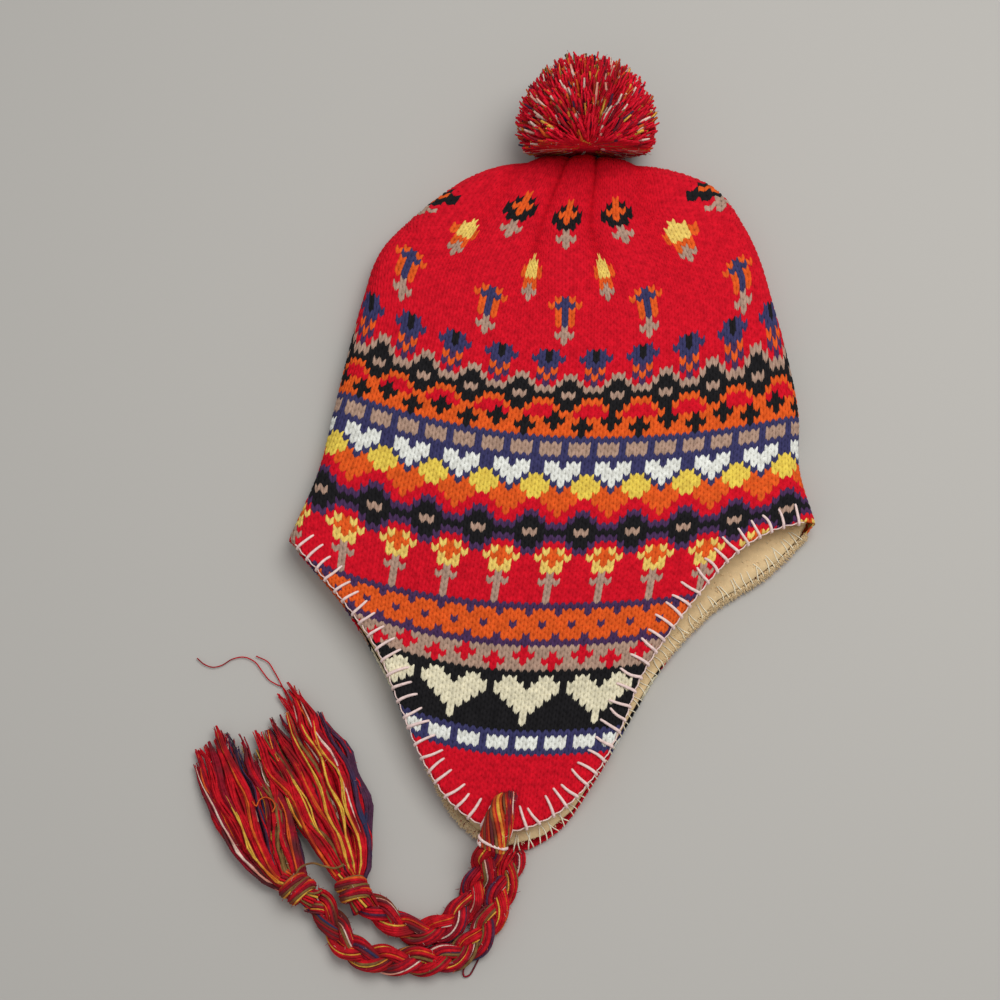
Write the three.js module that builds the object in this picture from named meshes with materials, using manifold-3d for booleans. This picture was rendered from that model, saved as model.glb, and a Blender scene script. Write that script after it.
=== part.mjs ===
// A knitted earflap hat lying on its side: a lined, flattened bag with a pompom and two plaited ties.
// Millimetres, +Z up. The hat lies on z = 0 with its crown towards +Y and its flaps towards -Y.
import * as THREE from 'three';
import { mergeVertices } from 'three/addons/utils/BufferGeometryUtils.js';
import Module from 'manifold-3d';

const wasm = await Module();
wasm.setup();

// Driving dimensions
const FOLD_RADIUS = 9; // half the thickness of the hat along its side folds
const KNIT_WALL = 3;
const LINING_WALL = 2.6;
const CLEARANCE = 0.3; // air between pieces that touch
const LINING_STOP = 0.993; // how far down the wall the lining reaches
const BULGE = { height: 13, x: 8, y: 20, halfWidth: 115, halfLength: 150 };
const DROOP = { depth: 4, from: -95, to: -190 }; // the upper flap sinks towards its tip
const PLEATS = { count: 7, depth: 1.5, centre: 0.15, spread: 0.11 };
const POMPOM = { radius: 36, x: 19, y: 163.7, z: 26, locks: 70, lockDepth: 0.15, lockAngle: 0.27 };
const CROWN_SLOPE = 0.364; // lean of the pompom's flat against the crown
const CROWN_FLAT = 158.9;
const BRAID_RADIUS = 6.5;
const BRAID_SIDES = 8;
const BRAID_STEPS = 28;
const LOCK_SIDES = 6;
const POLE_STEP = 3; // how much deeper the lining's crown point lies

// Side folds from the crown top down to the two rim corners, one row for each height
const FOLDS = [
  { leftX: 21, leftY: 154.5, rightX: 21, rightY: 154.5 },
  { leftX: -13, leftY: 151.5, rightX: 53, rightY: 148.5 },
  { leftX: -39, leftY: 142.5, rightX: 83, rightY: 136.5 },
  { leftX: -66, leftY: 121.5, rightX: 97, rightY: 117.5 },
  { leftX: -85, leftY: 99.5, rightX: 105, rightY: 95.5 },
  { leftX: -93, leftY: 73.5, rightX: 111, rightY: 68.5 },
  { leftX: -99, leftY: 47, rightX: 116, rightY: 43 },
  { leftX: -106, leftY: 12.5, rightX: 120, rightY: 12 },
  { leftX: -112, leftY: -17, rightX: 119, rightY: -17 },
  { leftX: -125.2, leftY: -52.5, rightX: 125.2, rightY: -44.5 },
];

// The rim from the left corner round each flap's tip to the right corner
const RIM = [
  { upperX: -125.2, upperY: -52.5, lowerX: -125.2, lowerY: -52.5 },
  { upperX: -99, upperY: -83.5, lowerX: -100, lowerY: -82.5 },
  { upperX: -82, upperY: -107.5, lowerX: -79, lowerY: -117 },
  { upperX: -71, upperY: -133.5, lowerX: -69, lowerY: -139 },
  { upperX: -59, upperY: -161, lowerX: -56, lowerY: -167 },
  { upperX: -44, upperY: -181.5, lowerX: -41, lowerY: -188 },
  { upperX: -24, upperY: -191.5, lowerX: -20, lowerY: -199.5 },
  { upperX: -2, upperY: -185, lowerX: 1, lowerY: -190.5 },
  { upperX: 16, upperY: -168.5, lowerX: 18, lowerY: -168 },
  { upperX: 31, upperY: -142.5, lowerX: 37, lowerY: -136 },
  { upperX: 40, upperY: -120.5, lowerX: 50, lowerY: -115 },
  { upperX: 60, upperY: -91.5, lowerX: 75, lowerY: -85.5 },
  { upperX: 85, upperY: -62.5, lowerX: 99, lowerY: -70 },
  { upperX: 105, upperY: -49.5, lowerX: 115, lowerY: -55.5 },
  { upperX: 125.2, upperY: -44.5, lowerX: 125.2, lowerY: -44.5 },
];

// Rings of the bag: how far each lies from the crown top (0) to the rim (1)
const RINGS = [
  0.03, 0.07, 0.11, 0.16, 0.22, 0.29, 0.37, 0.45, 0.54, 0.63, 0.72, 0.81, 0.89, 0.95,
  LINING_STOP, 1,
];
const FLAT_STEPS = 22; // columns across each layer between its fold arcs
const FOLD_ANGLES = [60, 30]; // degrees down from the fold's outermost line, on each quarter arc

// The ties' centrelines, from the flap to the knot
const UPPER_ROUTE = [
  { x: -23.7, y: -180.5, z: 21.4 },
  { x: -26.3, y: -189.1, z: 21.6 },
  { x: -29, y: -197.5, z: 20.2 },
  { x: -32.2, y: -205, z: 15 },
  { x: -35.3, y: -212, z: 9.8 },
  { x: -38.4, y: -218.9, z: 7.2 },
  { x: -42.4, y: -225.4, z: 6.8 },
  { x: -47.7, y: -231.2, z: 6.8 },
  { x: -54.3, y: -234.6, z: 6.8 },
  { x: -61.5, y: -235, z: 6.8 },
  { x: -68.6, y: -232.9, z: 6.8 },
  { x: -74.9, y: -228.9, z: 6.8 },
  { x: -80.4, y: -225, z: 6.8 },
  { x: -85, y: -221.6, z: 6.8 },
];
const LOWER_ROUTE = [
  { x: -18.9, y: -199.8, z: 6.8 },
  { x: -19.5, y: -205, z: 6.8 },
  { x: -20.9, y: -211.4, z: 6.8 },
  { x: -23.2, y: -218.8, z: 6.8 },
  { x: -26.3, y: -227.2, z: 6.8 },
  { x: -30.8, y: -235.5, z: 6.8 },
  { x: -36.5, y: -242.4, z: 6.8 },
  { x: -44, y: -247, z: 6.8 },
  { x: -52.4, y: -249, z: 6.8 },
  { x: -62.1, y: -249.6, z: 6.8 },
  { x: -71.9, y: -249.4, z: 6.8 },
  { x: -81.6, y: -247.7, z: 6.8 },
  { x: -90.1, y: -243.6, z: 6.8 },
  { x: -96.5, y: -237, z: 6.8 },
  { x: -100.8, y: -229.5, z: 6.8 },
  { x: -104.9, y: -224, z: 6.8 },
  { x: -109.3, y: -220.6, z: 6.8 },
];
const UPPER_KNOT = { x: -90.6, y: -217.2, z: 7.4, radius: 6.9, height: 7.2 };
const LOWER_KNOT = { x: -115.4, y: -216.6, z: 6.9, radius: 6.6, height: 6.7 };

// Tassel locks, one row each: where the lock passes at half its length, and where it ends
const UPPER_TASSEL = {
  baseX: -91.8,
  baseY: -208.4,
  locks: [
    { midX: -88, midY: -176, tipX: -114, tipY: -130 },
    { midX: -93, midY: -172, tipX: -120, tipY: -122 },
    { midX: -99, midY: -169, tipX: -126, tipY: -117 },
    { midX: -105, midY: -169, tipX: -129, tipY: -122 },
    { midX: -110, midY: -172, tipX: -132, tipY: -134 },
    { midX: -114, midY: -177, tipX: -134, tipY: -141 },
  ],
};
const LOWER_TASSEL = {
  baseX: -120.3,
  baseY: -211.3,
  locks: [
    { midX: -151, midY: -189, tipX: -168, tipY: -155 },
    { midX: -148, midY: -184, tipX: -164, tipY: -147 },
    { midX: -143, midY: -180, tipX: -160, tipY: -139 },
    { midX: -138, midY: -177, tipX: -154, tipY: -138 },
    { midX: -133, midY: -176, tipX: -148, tipY: -143 },
    { midX: -129, midY: -178, tipX: -142, tipY: -152 },
  ],
};
// A lock's half width and half height along its length
const LOCK_SECTIONS = [
  { along: 0, halfWidth: 4.2, halfHeight: 6 },
  { along: 0.18, halfWidth: 5.2, halfHeight: 6.6 },
  { along: 0.4, halfWidth: 5.6, halfHeight: 6.6 },
  { along: 0.65, halfWidth: 5, halfHeight: 5.6 },
  { along: 0.85, halfWidth: 3.6, halfHeight: 4.2 },
  { along: 1, halfWidth: 1.6, halfHeight: 2.4 },
];

const smoothstep = (edge0, edge1, value) => THREE.MathUtils.smoothstep(
  (value - edge0) / (edge1 - edge0),
  0,
  1,
);

function smoothLine(rows, xName, yName) {
  const points = rows.map((row) => new THREE.Vector3(row[xName], row[yName], 0));
  return new THREE.CatmullRomCurve3(points, false, 'centripetal');
}

const leftFold = smoothLine(FOLDS, 'leftX', 'leftY');
const rightFold = smoothLine(FOLDS, 'rightX', 'rightY');
const rims = {
  upper: smoothLine(RIM, 'upperX', 'upperY'),
  lower: smoothLine(RIM, 'lowerX', 'lowerY'),
};

// Place in plan of the wall at a share s across (left fold 0, right fold 1) and t down (crown 0, rim 1)
function planPoint(layer, s, t) {
  const chord = leftFold.getPointAt(t).lerp(rightFold.getPointAt(t), s);
  const corners = leftFold.getPointAt(1).lerp(rightFold.getPointAt(1), s);
  const sag = rims[layer].getPointAt(s).sub(corners).multiplyScalar(t);
  return chord.add(sag);
}

function ringLength(layer, t) {
  const samples = 24;
  let length = 0;
  for (let i = 0; i < samples; i += 1) {
    length += planPoint(layer, i / samples, t).distanceTo(planPoint(layer, (i + 1) / samples, t));
  }
  return length;
}

// How far the upper layer stands above the fold's own height
function rise(x, y) {
  const acrossShare = (x - BULGE.x) / BULGE.halfWidth;
  const alongShare = (y - BULGE.y) / BULGE.halfLength;
  const dome = Math.max(0, 1 - acrossShare ** 2 - alongShare ** 2);
  return BULGE.height * dome ** 1.2 - DROOP.depth * smoothstep(DROOP.from, DROOP.to, y);
}

// Columns of one layer, from its left fold arc to its right one
function layerColumns() {
  const arcs = FOLD_ANGLES.map((degrees) => THREE.MathUtils.degToRad(degrees));
  const left = arcs.map((angle) => ({ side: 0, angle }));
  const flat = [];
  for (let i = 0; i <= FLAT_STEPS; i += 1) {
    flat.push({ share: i / FLAT_STEPS, angle: 0 });
  }
  const right = [...arcs].reverse().map((angle) => ({ side: 1, angle }));
  return [...left, ...flat, ...right];
}

function wallPoint(layer, column, t) {
  const length = ringLength(layer, t);
  const radius = Math.min(FOLD_RADIUS, 0.4 * length);
  const inset = (radius * (1 - Math.sin(column.angle))) / length;
  let s = column.side === 1 ? 1 - inset : inset;
  if (column.share !== undefined) {
    s = inset + column.share * (1 - 2 * inset);
  }
  const point = planPoint(layer, s, t);
  const fromTop = planPoint(layer, 0.5, t).distanceTo(leftFold.getPointAt(0));
  const cap = Math.min(1, fromTop / FOLD_RADIUS);
  const half = FOLD_RADIUS * Math.sqrt(1 - (1 - cap) ** 2) * Math.cos(column.angle);
  point.z = layer === 'upper'
    ? FOLD_RADIUS + half + cap * Math.cos(column.angle) * rise(point.x, point.y)
    : FOLD_RADIUS - half;
  const pleat = Math.cos(2 * Math.PI * PLEATS.count * s) * Math.cos(column.angle);
  const near = Math.exp(-(((t - PLEATS.centre) / PLEATS.spread) ** 2));
  point.pleat = layer === 'upper' ? PLEATS.depth * pleat * near : 0;
  return point;
}

// The bag's outer face: the crown point, then a closed ring of points for each row of RINGS
function bagFace() {
  const columns = layerColumns();
  const crown = leftFold.getPointAt(0);
  crown.z = FOLD_RADIUS;
  crown.pleat = 0;
  const points = [crown];
  RINGS.forEach((t) => {
    const folds = [leftFold.getPointAt(t), rightFold.getPointAt(t)];
    folds.forEach((fold) => {
      fold.z = FOLD_RADIUS;
      fold.pleat = 0;
    });
    points.push(folds[0]);
    columns.forEach((column) => points.push(wallPoint('upper', column, t)));
    points.push(folds[1]);
    [...columns].reverse().forEach((column) => points.push(wallPoint('lower', column, t)));
  });
  return { points, around: 2 * columns.length + 2 };
}

// Triangles of a face with a pole at vertex 0 and rings of `around` vertices
function bagTriangles(around, rings) {
  const triangles = [];
  for (let i = 0; i < around; i += 1) {
    const next = (i + 1) % around;
    triangles.push([0, 1 + i, 1 + next]);
    for (let ring = 0; ring + 1 < rings; ring += 1) {
      const a = 1 + ring * around;
      const b = a + around;
      triangles.push([a + i, b + i, a + next]);
      triangles.push([a + next, b + i, b + next]);
    }
  }
  return triangles;
}

function meshGeometry(positions, triangles) {
  const geometry = new THREE.BufferGeometry();
  geometry.setAttribute('position', new THREE.Float32BufferAttribute(positions, 3));
  geometry.setIndex(triangles.flat());
  geometry.computeVertexNormals();
  return geometry;
}

const bag = bagFace();
const bagNormals = meshGeometry(
  bag.points.flatMap((point) => point.toArray()),
  bagTriangles(bag.around, RINGS.length),
).getAttribute('normal');

// A wall between two depths under the bag's outer face, open at the rim, from one ring to another
function bagWall(outerDepth, innerDepth, firstRing, lastRing, pleated) {
  const rings = lastRing - firstRing + 1;
  const count = 1 + rings * bag.around;
  const skipped = firstRing * bag.around;
  const face = (depth, pleatShare) => {
    const positions = [];
    for (let i = 0; i < count; i += 1) {
      const source = i === 0 ? 0 : i + skipped;
      const normal = new THREE.Vector3().fromBufferAttribute(bagNormals, source);
      const pole = i === 0 ? firstRing * POLE_STEP : 0;
      const offset = pleatShare * bag.points[source].pleat - depth - pole;
      positions.push(...bag.points[source].clone().addScaledVector(normal, offset).toArray());
    }
    return positions;
  };
  const outer = bagTriangles(bag.around, rings);
  const inner = outer.map(([a, b, c]) => [count + a, count + c, count + b]);
  const edge = [];
  const last = 1 + (rings - 1) * bag.around;
  for (let i = 0; i < bag.around; i += 1) {
    const a = last + i;
    const b = last + ((i + 1) % bag.around);
    edge.push([a, count + a, b], [b, count + a, count + b]);
  }
  return meshGeometry(
    [...face(outerDepth, pleated ? 1 : 0), ...face(innerDepth, 0)],
    [...outer, ...inner, ...edge],
  );
}

// Directions spread evenly over a sphere
function sphereDirection(index, count) {
  const z = 1 - (2 * index + 1) / count;
  const turn = index * Math.PI * (3 - Math.sqrt(5));
  const flat = Math.sqrt(1 - z * z);
  return new THREE.Vector3(flat * Math.cos(turn), flat * Math.sin(turn), z);
}

// A ball of yarn locks, pressed flat where it lies and where it leans on the crown
function pompomGeometry() {
  const lockAxes = [];
  for (let i = 0; i < POMPOM.locks; i += 1) {
    lockAxes.push(sphereDirection(i, POMPOM.locks));
  }
  const ball = new THREE.IcosahedronGeometry(1, 7);
  ball.deleteAttribute('normal');
  ball.deleteAttribute('uv');
  const geometry = mergeVertices(ball);
  const position = geometry.getAttribute('position');
  const centre = new THREE.Vector3(POMPOM.x, POMPOM.y, POMPOM.z);
  const toCrown = new THREE.Vector3(0, -1, -CROWN_SLOPE);
  const crownRoom = centre.y + CROWN_SLOPE * centre.z - CROWN_FLAT;
  for (let i = 0; i < position.count; i += 1) {
    const direction = new THREE.Vector3().fromBufferAttribute(position, i).normalize();
    const nearest = Math.min(...lockAxes.map((axis) => axis.angleTo(direction)));
    const tip = Math.max(0, 1 - (nearest / POMPOM.lockAngle) ** 2);
    let reach = POMPOM.radius * (1 - POMPOM.lockDepth * (1 - tip));
    if (direction.z < 0) {
      reach = Math.min(reach, (centre.z - CLEARANCE) / -direction.z);
    }
    const facing = direction.dot(toCrown);
    if (facing > 0) {
      reach = Math.min(reach, crownRoom / facing);
    }
    const point = direction.multiplyScalar(reach).add(centre);
    position.setXYZ(i, point.x, point.y, point.z);
  }
  geometry.computeVertexNormals();
  return geometry;
}

function braidGeometry(route) {
  const path = new THREE.CatmullRomCurve3(route.map(({ x, y, z }) => new THREE.Vector3(x, y, z)));
  const section = new THREE.Shape();
  for (let i = 0; i < BRAID_SIDES; i += 1) {
    const angle = (2 * Math.PI * i) / BRAID_SIDES;
    const x = BRAID_RADIUS * Math.cos(angle);
    const y = BRAID_RADIUS * Math.sin(angle);
    if (i === 0) {
      section.moveTo(x, y);
    } else {
      section.lineTo(x, y);
    }
  }
  return new THREE.ExtrudeGeometry(section, {
    steps: BRAID_STEPS,
    extrudePath: path,
    bevelEnabled: false,
  });
}

function knotGeometry(knot, grow) {
  const ball = new THREE.IcosahedronGeometry(1, 2);
  ball.scale(knot.radius + grow, knot.radius + grow, knot.height + grow);
  ball.translate(knot.x, knot.y, knot.z);
  ball.deleteAttribute('normal');
  ball.deleteAttribute('uv');
  return mergeVertices(ball);
}

// One tapered lock of yarn lying on the surface
function lockGeometry(tassel, lock) {
  const base = new THREE.Vector3(tassel.baseX, tassel.baseY, 0);
  const tip = new THREE.Vector3(lock.tipX, lock.tipY, 0);
  const mid = new THREE.Vector3(lock.midX, lock.midY, 0);
  const pull = mid.multiplyScalar(2).addScaledVector(base, -0.5).addScaledVector(tip, -0.5);
  const line = new THREE.QuadraticBezierCurve3(base, pull, tip);
  const positions = [];
  const triangles = [];
  LOCK_SECTIONS.forEach(({ along, halfWidth, halfHeight }) => {
    const centre = line.getPoint(along);
    const tangent = line.getTangent(along);
    for (let i = 0; i < LOCK_SIDES; i += 1) {
      const angle = (2 * Math.PI * (i + 0.5)) / LOCK_SIDES;
      const across = halfWidth * Math.cos(angle);
      const z = halfHeight * (1 + Math.sin(angle)) + CLEARANCE;
      positions.push(centre.x - across * tangent.y, centre.y + across * tangent.x, z);
    }
  });
  for (let i = 0; i < LOCK_SIDES; i += 1) {
    const next = (i + 1) % LOCK_SIDES;
    for (let ring = 0; ring + 1 < LOCK_SECTIONS.length; ring += 1) {
      const a = ring * LOCK_SIDES;
      const b = a + LOCK_SIDES;
      triangles.push([a + i, a + next, b + i], [a + next, b + next, b + i]);
    }
  }
  const end = (LOCK_SECTIONS.length - 1) * LOCK_SIDES;
  for (let i = 1; i + 1 < LOCK_SIDES; i += 1) {
    triangles.push([0, i + 1, i], [end, end + i, end + i + 1]);
  }
  return meshGeometry(positions, triangles);
}

function toSolid(geometry) {
  return new wasm.Manifold(new wasm.Mesh({
    numProp: 3,
    vertProperties: new Float32Array(geometry.getAttribute('position').array),
    triVerts: new Uint32Array(geometry.getIndex().array),
  }));
}

function fromSolid(solid) {
  const { vertProperties, triVerts } = solid.getMesh();
  const geometry = new THREE.BufferGeometry();
  geometry.setAttribute('position', new THREE.BufferAttribute(vertProperties, 3));
  geometry.setIndex(new THREE.BufferAttribute(triVerts, 1));
  geometry.computeVertexNormals();
  return geometry;
}

// Locks fused at the head, hollowed where they sit against the knot
function tasselGeometry(tassel, knot) {
  const locks = tassel.locks.map((lock) => toSolid(lockGeometry(tassel, lock)));
  const fused = locks.reduce((whole, lock) => whole.add(lock));
  return fromSolid(fused.subtract(toSolid(knotGeometry(knot, CLEARANCE))));
}

const finishes = {
  knit: { color: 0xb0121c, roughness: 0.95 },
  fleece: { color: 0xd6be91, roughness: 1 },
  yarn: { color: 0xc3141f, roughness: 0.9 },
};

function addPiece(group, name, geometry, finish) {
  const material = new THREE.MeshStandardMaterial({ ...finishes[finish], metalness: 0 });
  const mesh = new THREE.Mesh(geometry, material);
  mesh.name = name;
  group.add(mesh);
}

const liningTop = KNIT_WALL + CLEARANCE;
const hat = new THREE.Group();
addPiece(hat, 'knit_shell', bagWall(0, KNIT_WALL, 0, RINGS.length - 1, true), 'knit');
const lining = bagWall(liningTop, liningTop + LINING_WALL, 1, RINGS.length - 2, false);
addPiece(hat, 'fleece_lining', lining, 'fleece');
addPiece(hat, 'pompom', pompomGeometry(), 'yarn');
addPiece(hat, 'braid_upper', braidGeometry(UPPER_ROUTE), 'yarn');
addPiece(hat, 'braid_lower', braidGeometry(LOWER_ROUTE), 'yarn');
addPiece(hat, 'knot_upper', knotGeometry(UPPER_KNOT, 0), 'yarn');
addPiece(hat, 'knot_lower', knotGeometry(LOWER_KNOT, 0), 'yarn');
addPiece(hat, 'tassel_upper', tasselGeometry(UPPER_TASSEL, UPPER_KNOT), 'yarn');
addPiece(hat, 'tassel_lower', tasselGeometry(LOWER_TASSEL, LOWER_KNOT), 'yarn');

export default hat;
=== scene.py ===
"""A knitted earflap hat lying on its side, with a fleece lining, a yarn pompom and two plaited ties."""
import math

import bpy
import numpy as np
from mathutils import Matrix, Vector
from mathutils.kdtree import KDTree


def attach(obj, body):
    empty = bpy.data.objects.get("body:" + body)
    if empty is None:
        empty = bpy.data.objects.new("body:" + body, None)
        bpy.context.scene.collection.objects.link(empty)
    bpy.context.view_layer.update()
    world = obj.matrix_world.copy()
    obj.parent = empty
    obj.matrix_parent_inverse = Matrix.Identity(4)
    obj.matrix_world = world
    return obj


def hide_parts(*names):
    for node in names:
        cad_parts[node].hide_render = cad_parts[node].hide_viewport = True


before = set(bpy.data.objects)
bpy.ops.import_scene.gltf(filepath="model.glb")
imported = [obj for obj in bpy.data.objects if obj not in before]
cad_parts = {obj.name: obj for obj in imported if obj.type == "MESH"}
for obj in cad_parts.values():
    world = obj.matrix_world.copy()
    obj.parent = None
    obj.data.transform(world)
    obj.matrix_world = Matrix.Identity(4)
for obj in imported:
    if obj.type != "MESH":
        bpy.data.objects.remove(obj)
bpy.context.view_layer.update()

MM = 0.001
rng = np.random.default_rng(11)

# Sizes of the CAD bag, in millimetres
FOLD_RADIUS = 9.0
LIP_RADIUS = 1.5  # rounding of the knit where it turns in at the rim
LINING_DEPTH = 5.9  # from the knit's face to the lining's face
BULGE = {"height": 13.0, "x": 8.0, "y": 20.0, "half_width": 115.0, "half_length": 150.0}
DROOP = {"depth": 4.0, "from": -95.0, "to": -190.0}
POMPOM_RADIUS = 36.0
POMPOM_CENTRE = np.array((19.0, 163.7, 26.0))
POMPOM_TIE = np.array((0.0, -0.88, 0.475))
POMPOM_STRANDS = 6800
POMPOM_CORE = 0.62  # the dense middle's share of the radius
CROWN_SLOPE = 0.364  # the pompom is pressed on a plane where y + CROWN_SLOPE * z is CROWN_FLAT
CROWN_FLAT = 158.9
BRAID_SETTLE = -2.0  # the plait is flatter than its round solid, so it lies lower

# The two side folds from the crown top down to the rim corners: left x, left y, right x, right y
FOLDS = (
    (21, 154.5, 21, 154.5),
    (-13, 151.5, 53, 148.5),
    (-39, 142.5, 83, 136.5),
    (-66, 121.5, 97, 117.5),
    (-85, 99.5, 105, 95.5),
    (-93, 73.5, 111, 68.5),
    (-99, 47, 116, 43),
    (-106, 12.5, 120, 12),
    (-112, -17, 119, -17),
    (-125.2, -52.5, 125.2, -44.5),
)
# The rim from the left corner to the right one: upper x, upper y, lower x, lower y
RIM = (
    (-125.2, -52.5, -125.2, -52.5),
    (-99, -83.5, -100, -82.5),
    (-82, -107.5, -79, -117),
    (-71, -133.5, -69, -139),
    (-59, -161, -56, -167),
    (-44, -181.5, -41, -188),
    (-24, -191.5, -20, -199.5),
    (-2, -185, 1, -190.5),
    (16, -168.5, 18, -168),
    (31, -142.5, 37, -136),
    (40, -120.5, 50, -115),
    (60, -91.5, 75, -85.5),
    (85, -62.5, 99, -70),
    (105, -49.5, 115, -55.5),
    (125.2, -44.5, 125.2, -44.5),
)

# Knit courses: row, pivot column, its x and y, stitch width there, how much the stitches narrow towards
# the sides, how far the gathers bunch them, and how far the course climbs left and right (per square mm)
COURSES = np.array((
    (-40, -2, 20.4, 167, 0.82, -2.1, 1.55, 0.003, 0.0036),
    (-32, -2, 13.5, 135, 1.41, -1.62, 1.55, 0.0034, 0.004),
    (-25, -2, 7.9, 109.8, 1.85, -1.06, 1.5, 0.004, 0.004),
    (-20, -2, 7.4, 92, 2.34, -0.47, 1.2, 0.0048, 0.0042),
    (-16, -2, 7.1, 77.5, 2.77, -0.05, 0.75, 0.0052, 0.0042),
    (-12, -2, 6.8, 64.5, 3, 0, 0.3, 0.0054, 0.004),
    (-8, -2, 6.4, 51.4, 3.15, 0, 0, 0.005, 0.0037),
    (-2, 0, 11.5, 32.1, 3.25, 0.04, 0, 0.0034, 0.0033),
    (4, 1, 12.6, 13.3, 3.34, 0.03, 0, 0.0023, 0.0018),
    (10, 3, 16.9, -6.2, 3.42, 0.025, 0, 0.0021, 0.0016),
    (16, 3, 14.3, -25.2, 3.4, 0, 0, 0.002, 0.0016),
    (23, 3, 12, -45.6, 3.44, -0.025, 0, 0.0019, 0.0015),
    (30, 2, 6.4, -66.6, 3.43, -0.02, 0, 0.0017, 0.0014),
    (38, 1, -1, -89.2, 3.41, 0, 0, 0.0018, 0.0012),
    (46, 0, -7.5, -111.7, 3.37, 0, 0, 0.0024, 0.0013),
    (54, 0, -10.4, -133.6, 3.33, 0, 0, 0.0029, 0.0013),
    (60, 0, -12.9, -150.4, 3.3, 0, 0, 0.0036, 0.0014),
    (68, 0, -16.2, -172.7, 3.28, 0, 0, 0.0036, 0.0014),
    (80, 0, -20.8, -206, 3.28, 0, 0, 0.0036, 0.0014),
))
COURSE_SPAN = 32.0  # stitches from the middle at which the narrowing counts in full
BUNCH_SPAN = 22.0  # and at which the bunching has faded
FIRST_ROW, LAST_ROW = -40, 79
MOST_COLUMNS = 40
STITCH_HEIGHT = 0.74
STITCH_SINK = 0.35
STITCH_SPREAD = 0.1  # of the stitches' heights
BASE_SINK = 0.32
FLOOR_GAP = 0.05  # kept between the lower layer and the floor
# One leg of a stitch from its top to its bottom: row and column from the stitch's middle, half width in
# columns, and the heights of its crest and of its edges
LEG = np.array((
    (-0.78, 0.40, 0.07, 0.05, -0.30),
    (-0.26, 0.32, 0.26, 0.90, 0.05),
    (0.28, 0.22, 0.26, 1.00, 0.10),
    (0.86, 0.09, 0.05, 0.35, -0.10),
))
GATHER_REPEAT = 13  # columns from pleat to pleat
GATHER_VALLEY = 4.5
GATHER_SHARPNESS = 1.6
# Row, and the pleats' depth there
GATHER_DEPTH = np.array(((-40, 1.8), (-31, 2.4), (-25, 2.0), (-18, 0.8), (-11, 0.0)))

# Knit chart: first row, shift of the repeat, and the rows of one repeat.
# R red, K black, T taupe, W cream, I white, N navy, P purple, Y yellow, M pale yellow, O orange, and a
# dot leaves what is below. In a torch, a is its outline and b its core.
TORCHES = {
    "KO": ("..b..", ".aba.", "abbba", "aabaa", ".aaa.", "..T..", ".TTT.", "..T.."),
    "OM": ("..b..", ".bbb.", "abbba", "abbba", ".aaa.", ".aTa.", ".TTT.", "..T.."),
    "ON": (".aba.", "abbba", ".aba.", ".aba.", ".aba.", "..T..", ".TTT.", "..T.."),
}
# Crown torches: first row, middle column, and the colours of the outline and the core
TORCH_PLACES = (
    (-28, -28, "KO"), (-29, -15, "KO"), (-28, -2, "KO"), (-28, 11, "KO"), (-28, 25, "KO"),
    (-23, -22, "OM"), (-19, -8, "OM"), (-19, 5, "OM"), (-22, 20, "OM"),
    (-12, -27, "ON"), (-12, -14, "ON"), (-12, -2, "ON"), (-12, 11, "ON"), (-11, 26, "ON"),
)
BANDS = (
    (-3, 6, (".NKN...", "NNKNN..", ".NNN...", ".OPO...")),
    (1, 5, ("POPRTTR", "RPRTKKT", "TTTKKKK", "KKKKTTK", "OOOKKKK", "RRROKKO", "RRRROOR")),
    (8, 0, ("O", "O", "O")),
    (7, 4, ("..K.....", ".KKK..K.", "..K..KKK", "......K.")),
    (11, 3, ("NNNN", "TTTN", "TTTN", "NNNN")),
    (15, 2, ("IINIINN", "IIIIINN", "NIIINYY", "YNINYYY", "YONOYYY", "OOOOOYY", "OOOOORR", "ROOORRR",
             "RRORRPP", "PRRRPKK", "KPPPKKK", "KKKKKTT", "KPPPKKK", "PRRRPKK", "RMOMRPP", "MOOOMRR",
             "RMOMRRR", "RMMMRRR", "RRTRRRR", "RTTTRRR", "RRTRRRR", "RRTRRRR", "RRTRRRR")),
    (38, 2, ("PPPP", "POOO", "OOOO", "OOPO", "OOOO", "POOO", "PPPP")),
    (45, 3, ("TRTTTTTT", "RRRTTRTT", "TRTTRRRT", "TTTTTRTT")),
    (49, 5, ("KKKKKKKKKK", "KWWKKKWWKK", "WWWWKWWWWK", "WWWWWWWWWK", "KWWWWWWWKK", "KKWWWWWKKK",
             "KKKWWWKKKK", "KKKKWKKKKK", "KKKKWKKKKK", "KKKKKKKKKK")),
    (59, 1, ("NNNN", "IIIN", "IIIN", "NNNN")),
)
YARNS = "RKTWNPYOIM"
YARN_COLOURS = {
    "R": (212, 2, 32), "K": (22, 20, 22), "T": (180, 147, 127), "W": (234, 224, 192), "N": (58, 56, 98),
    "P": (74, 46, 86), "Y": (250, 208, 84), "O": (232, 92, 26), "I": (240, 238, 226), "M": (255, 206, 106),
}

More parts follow.
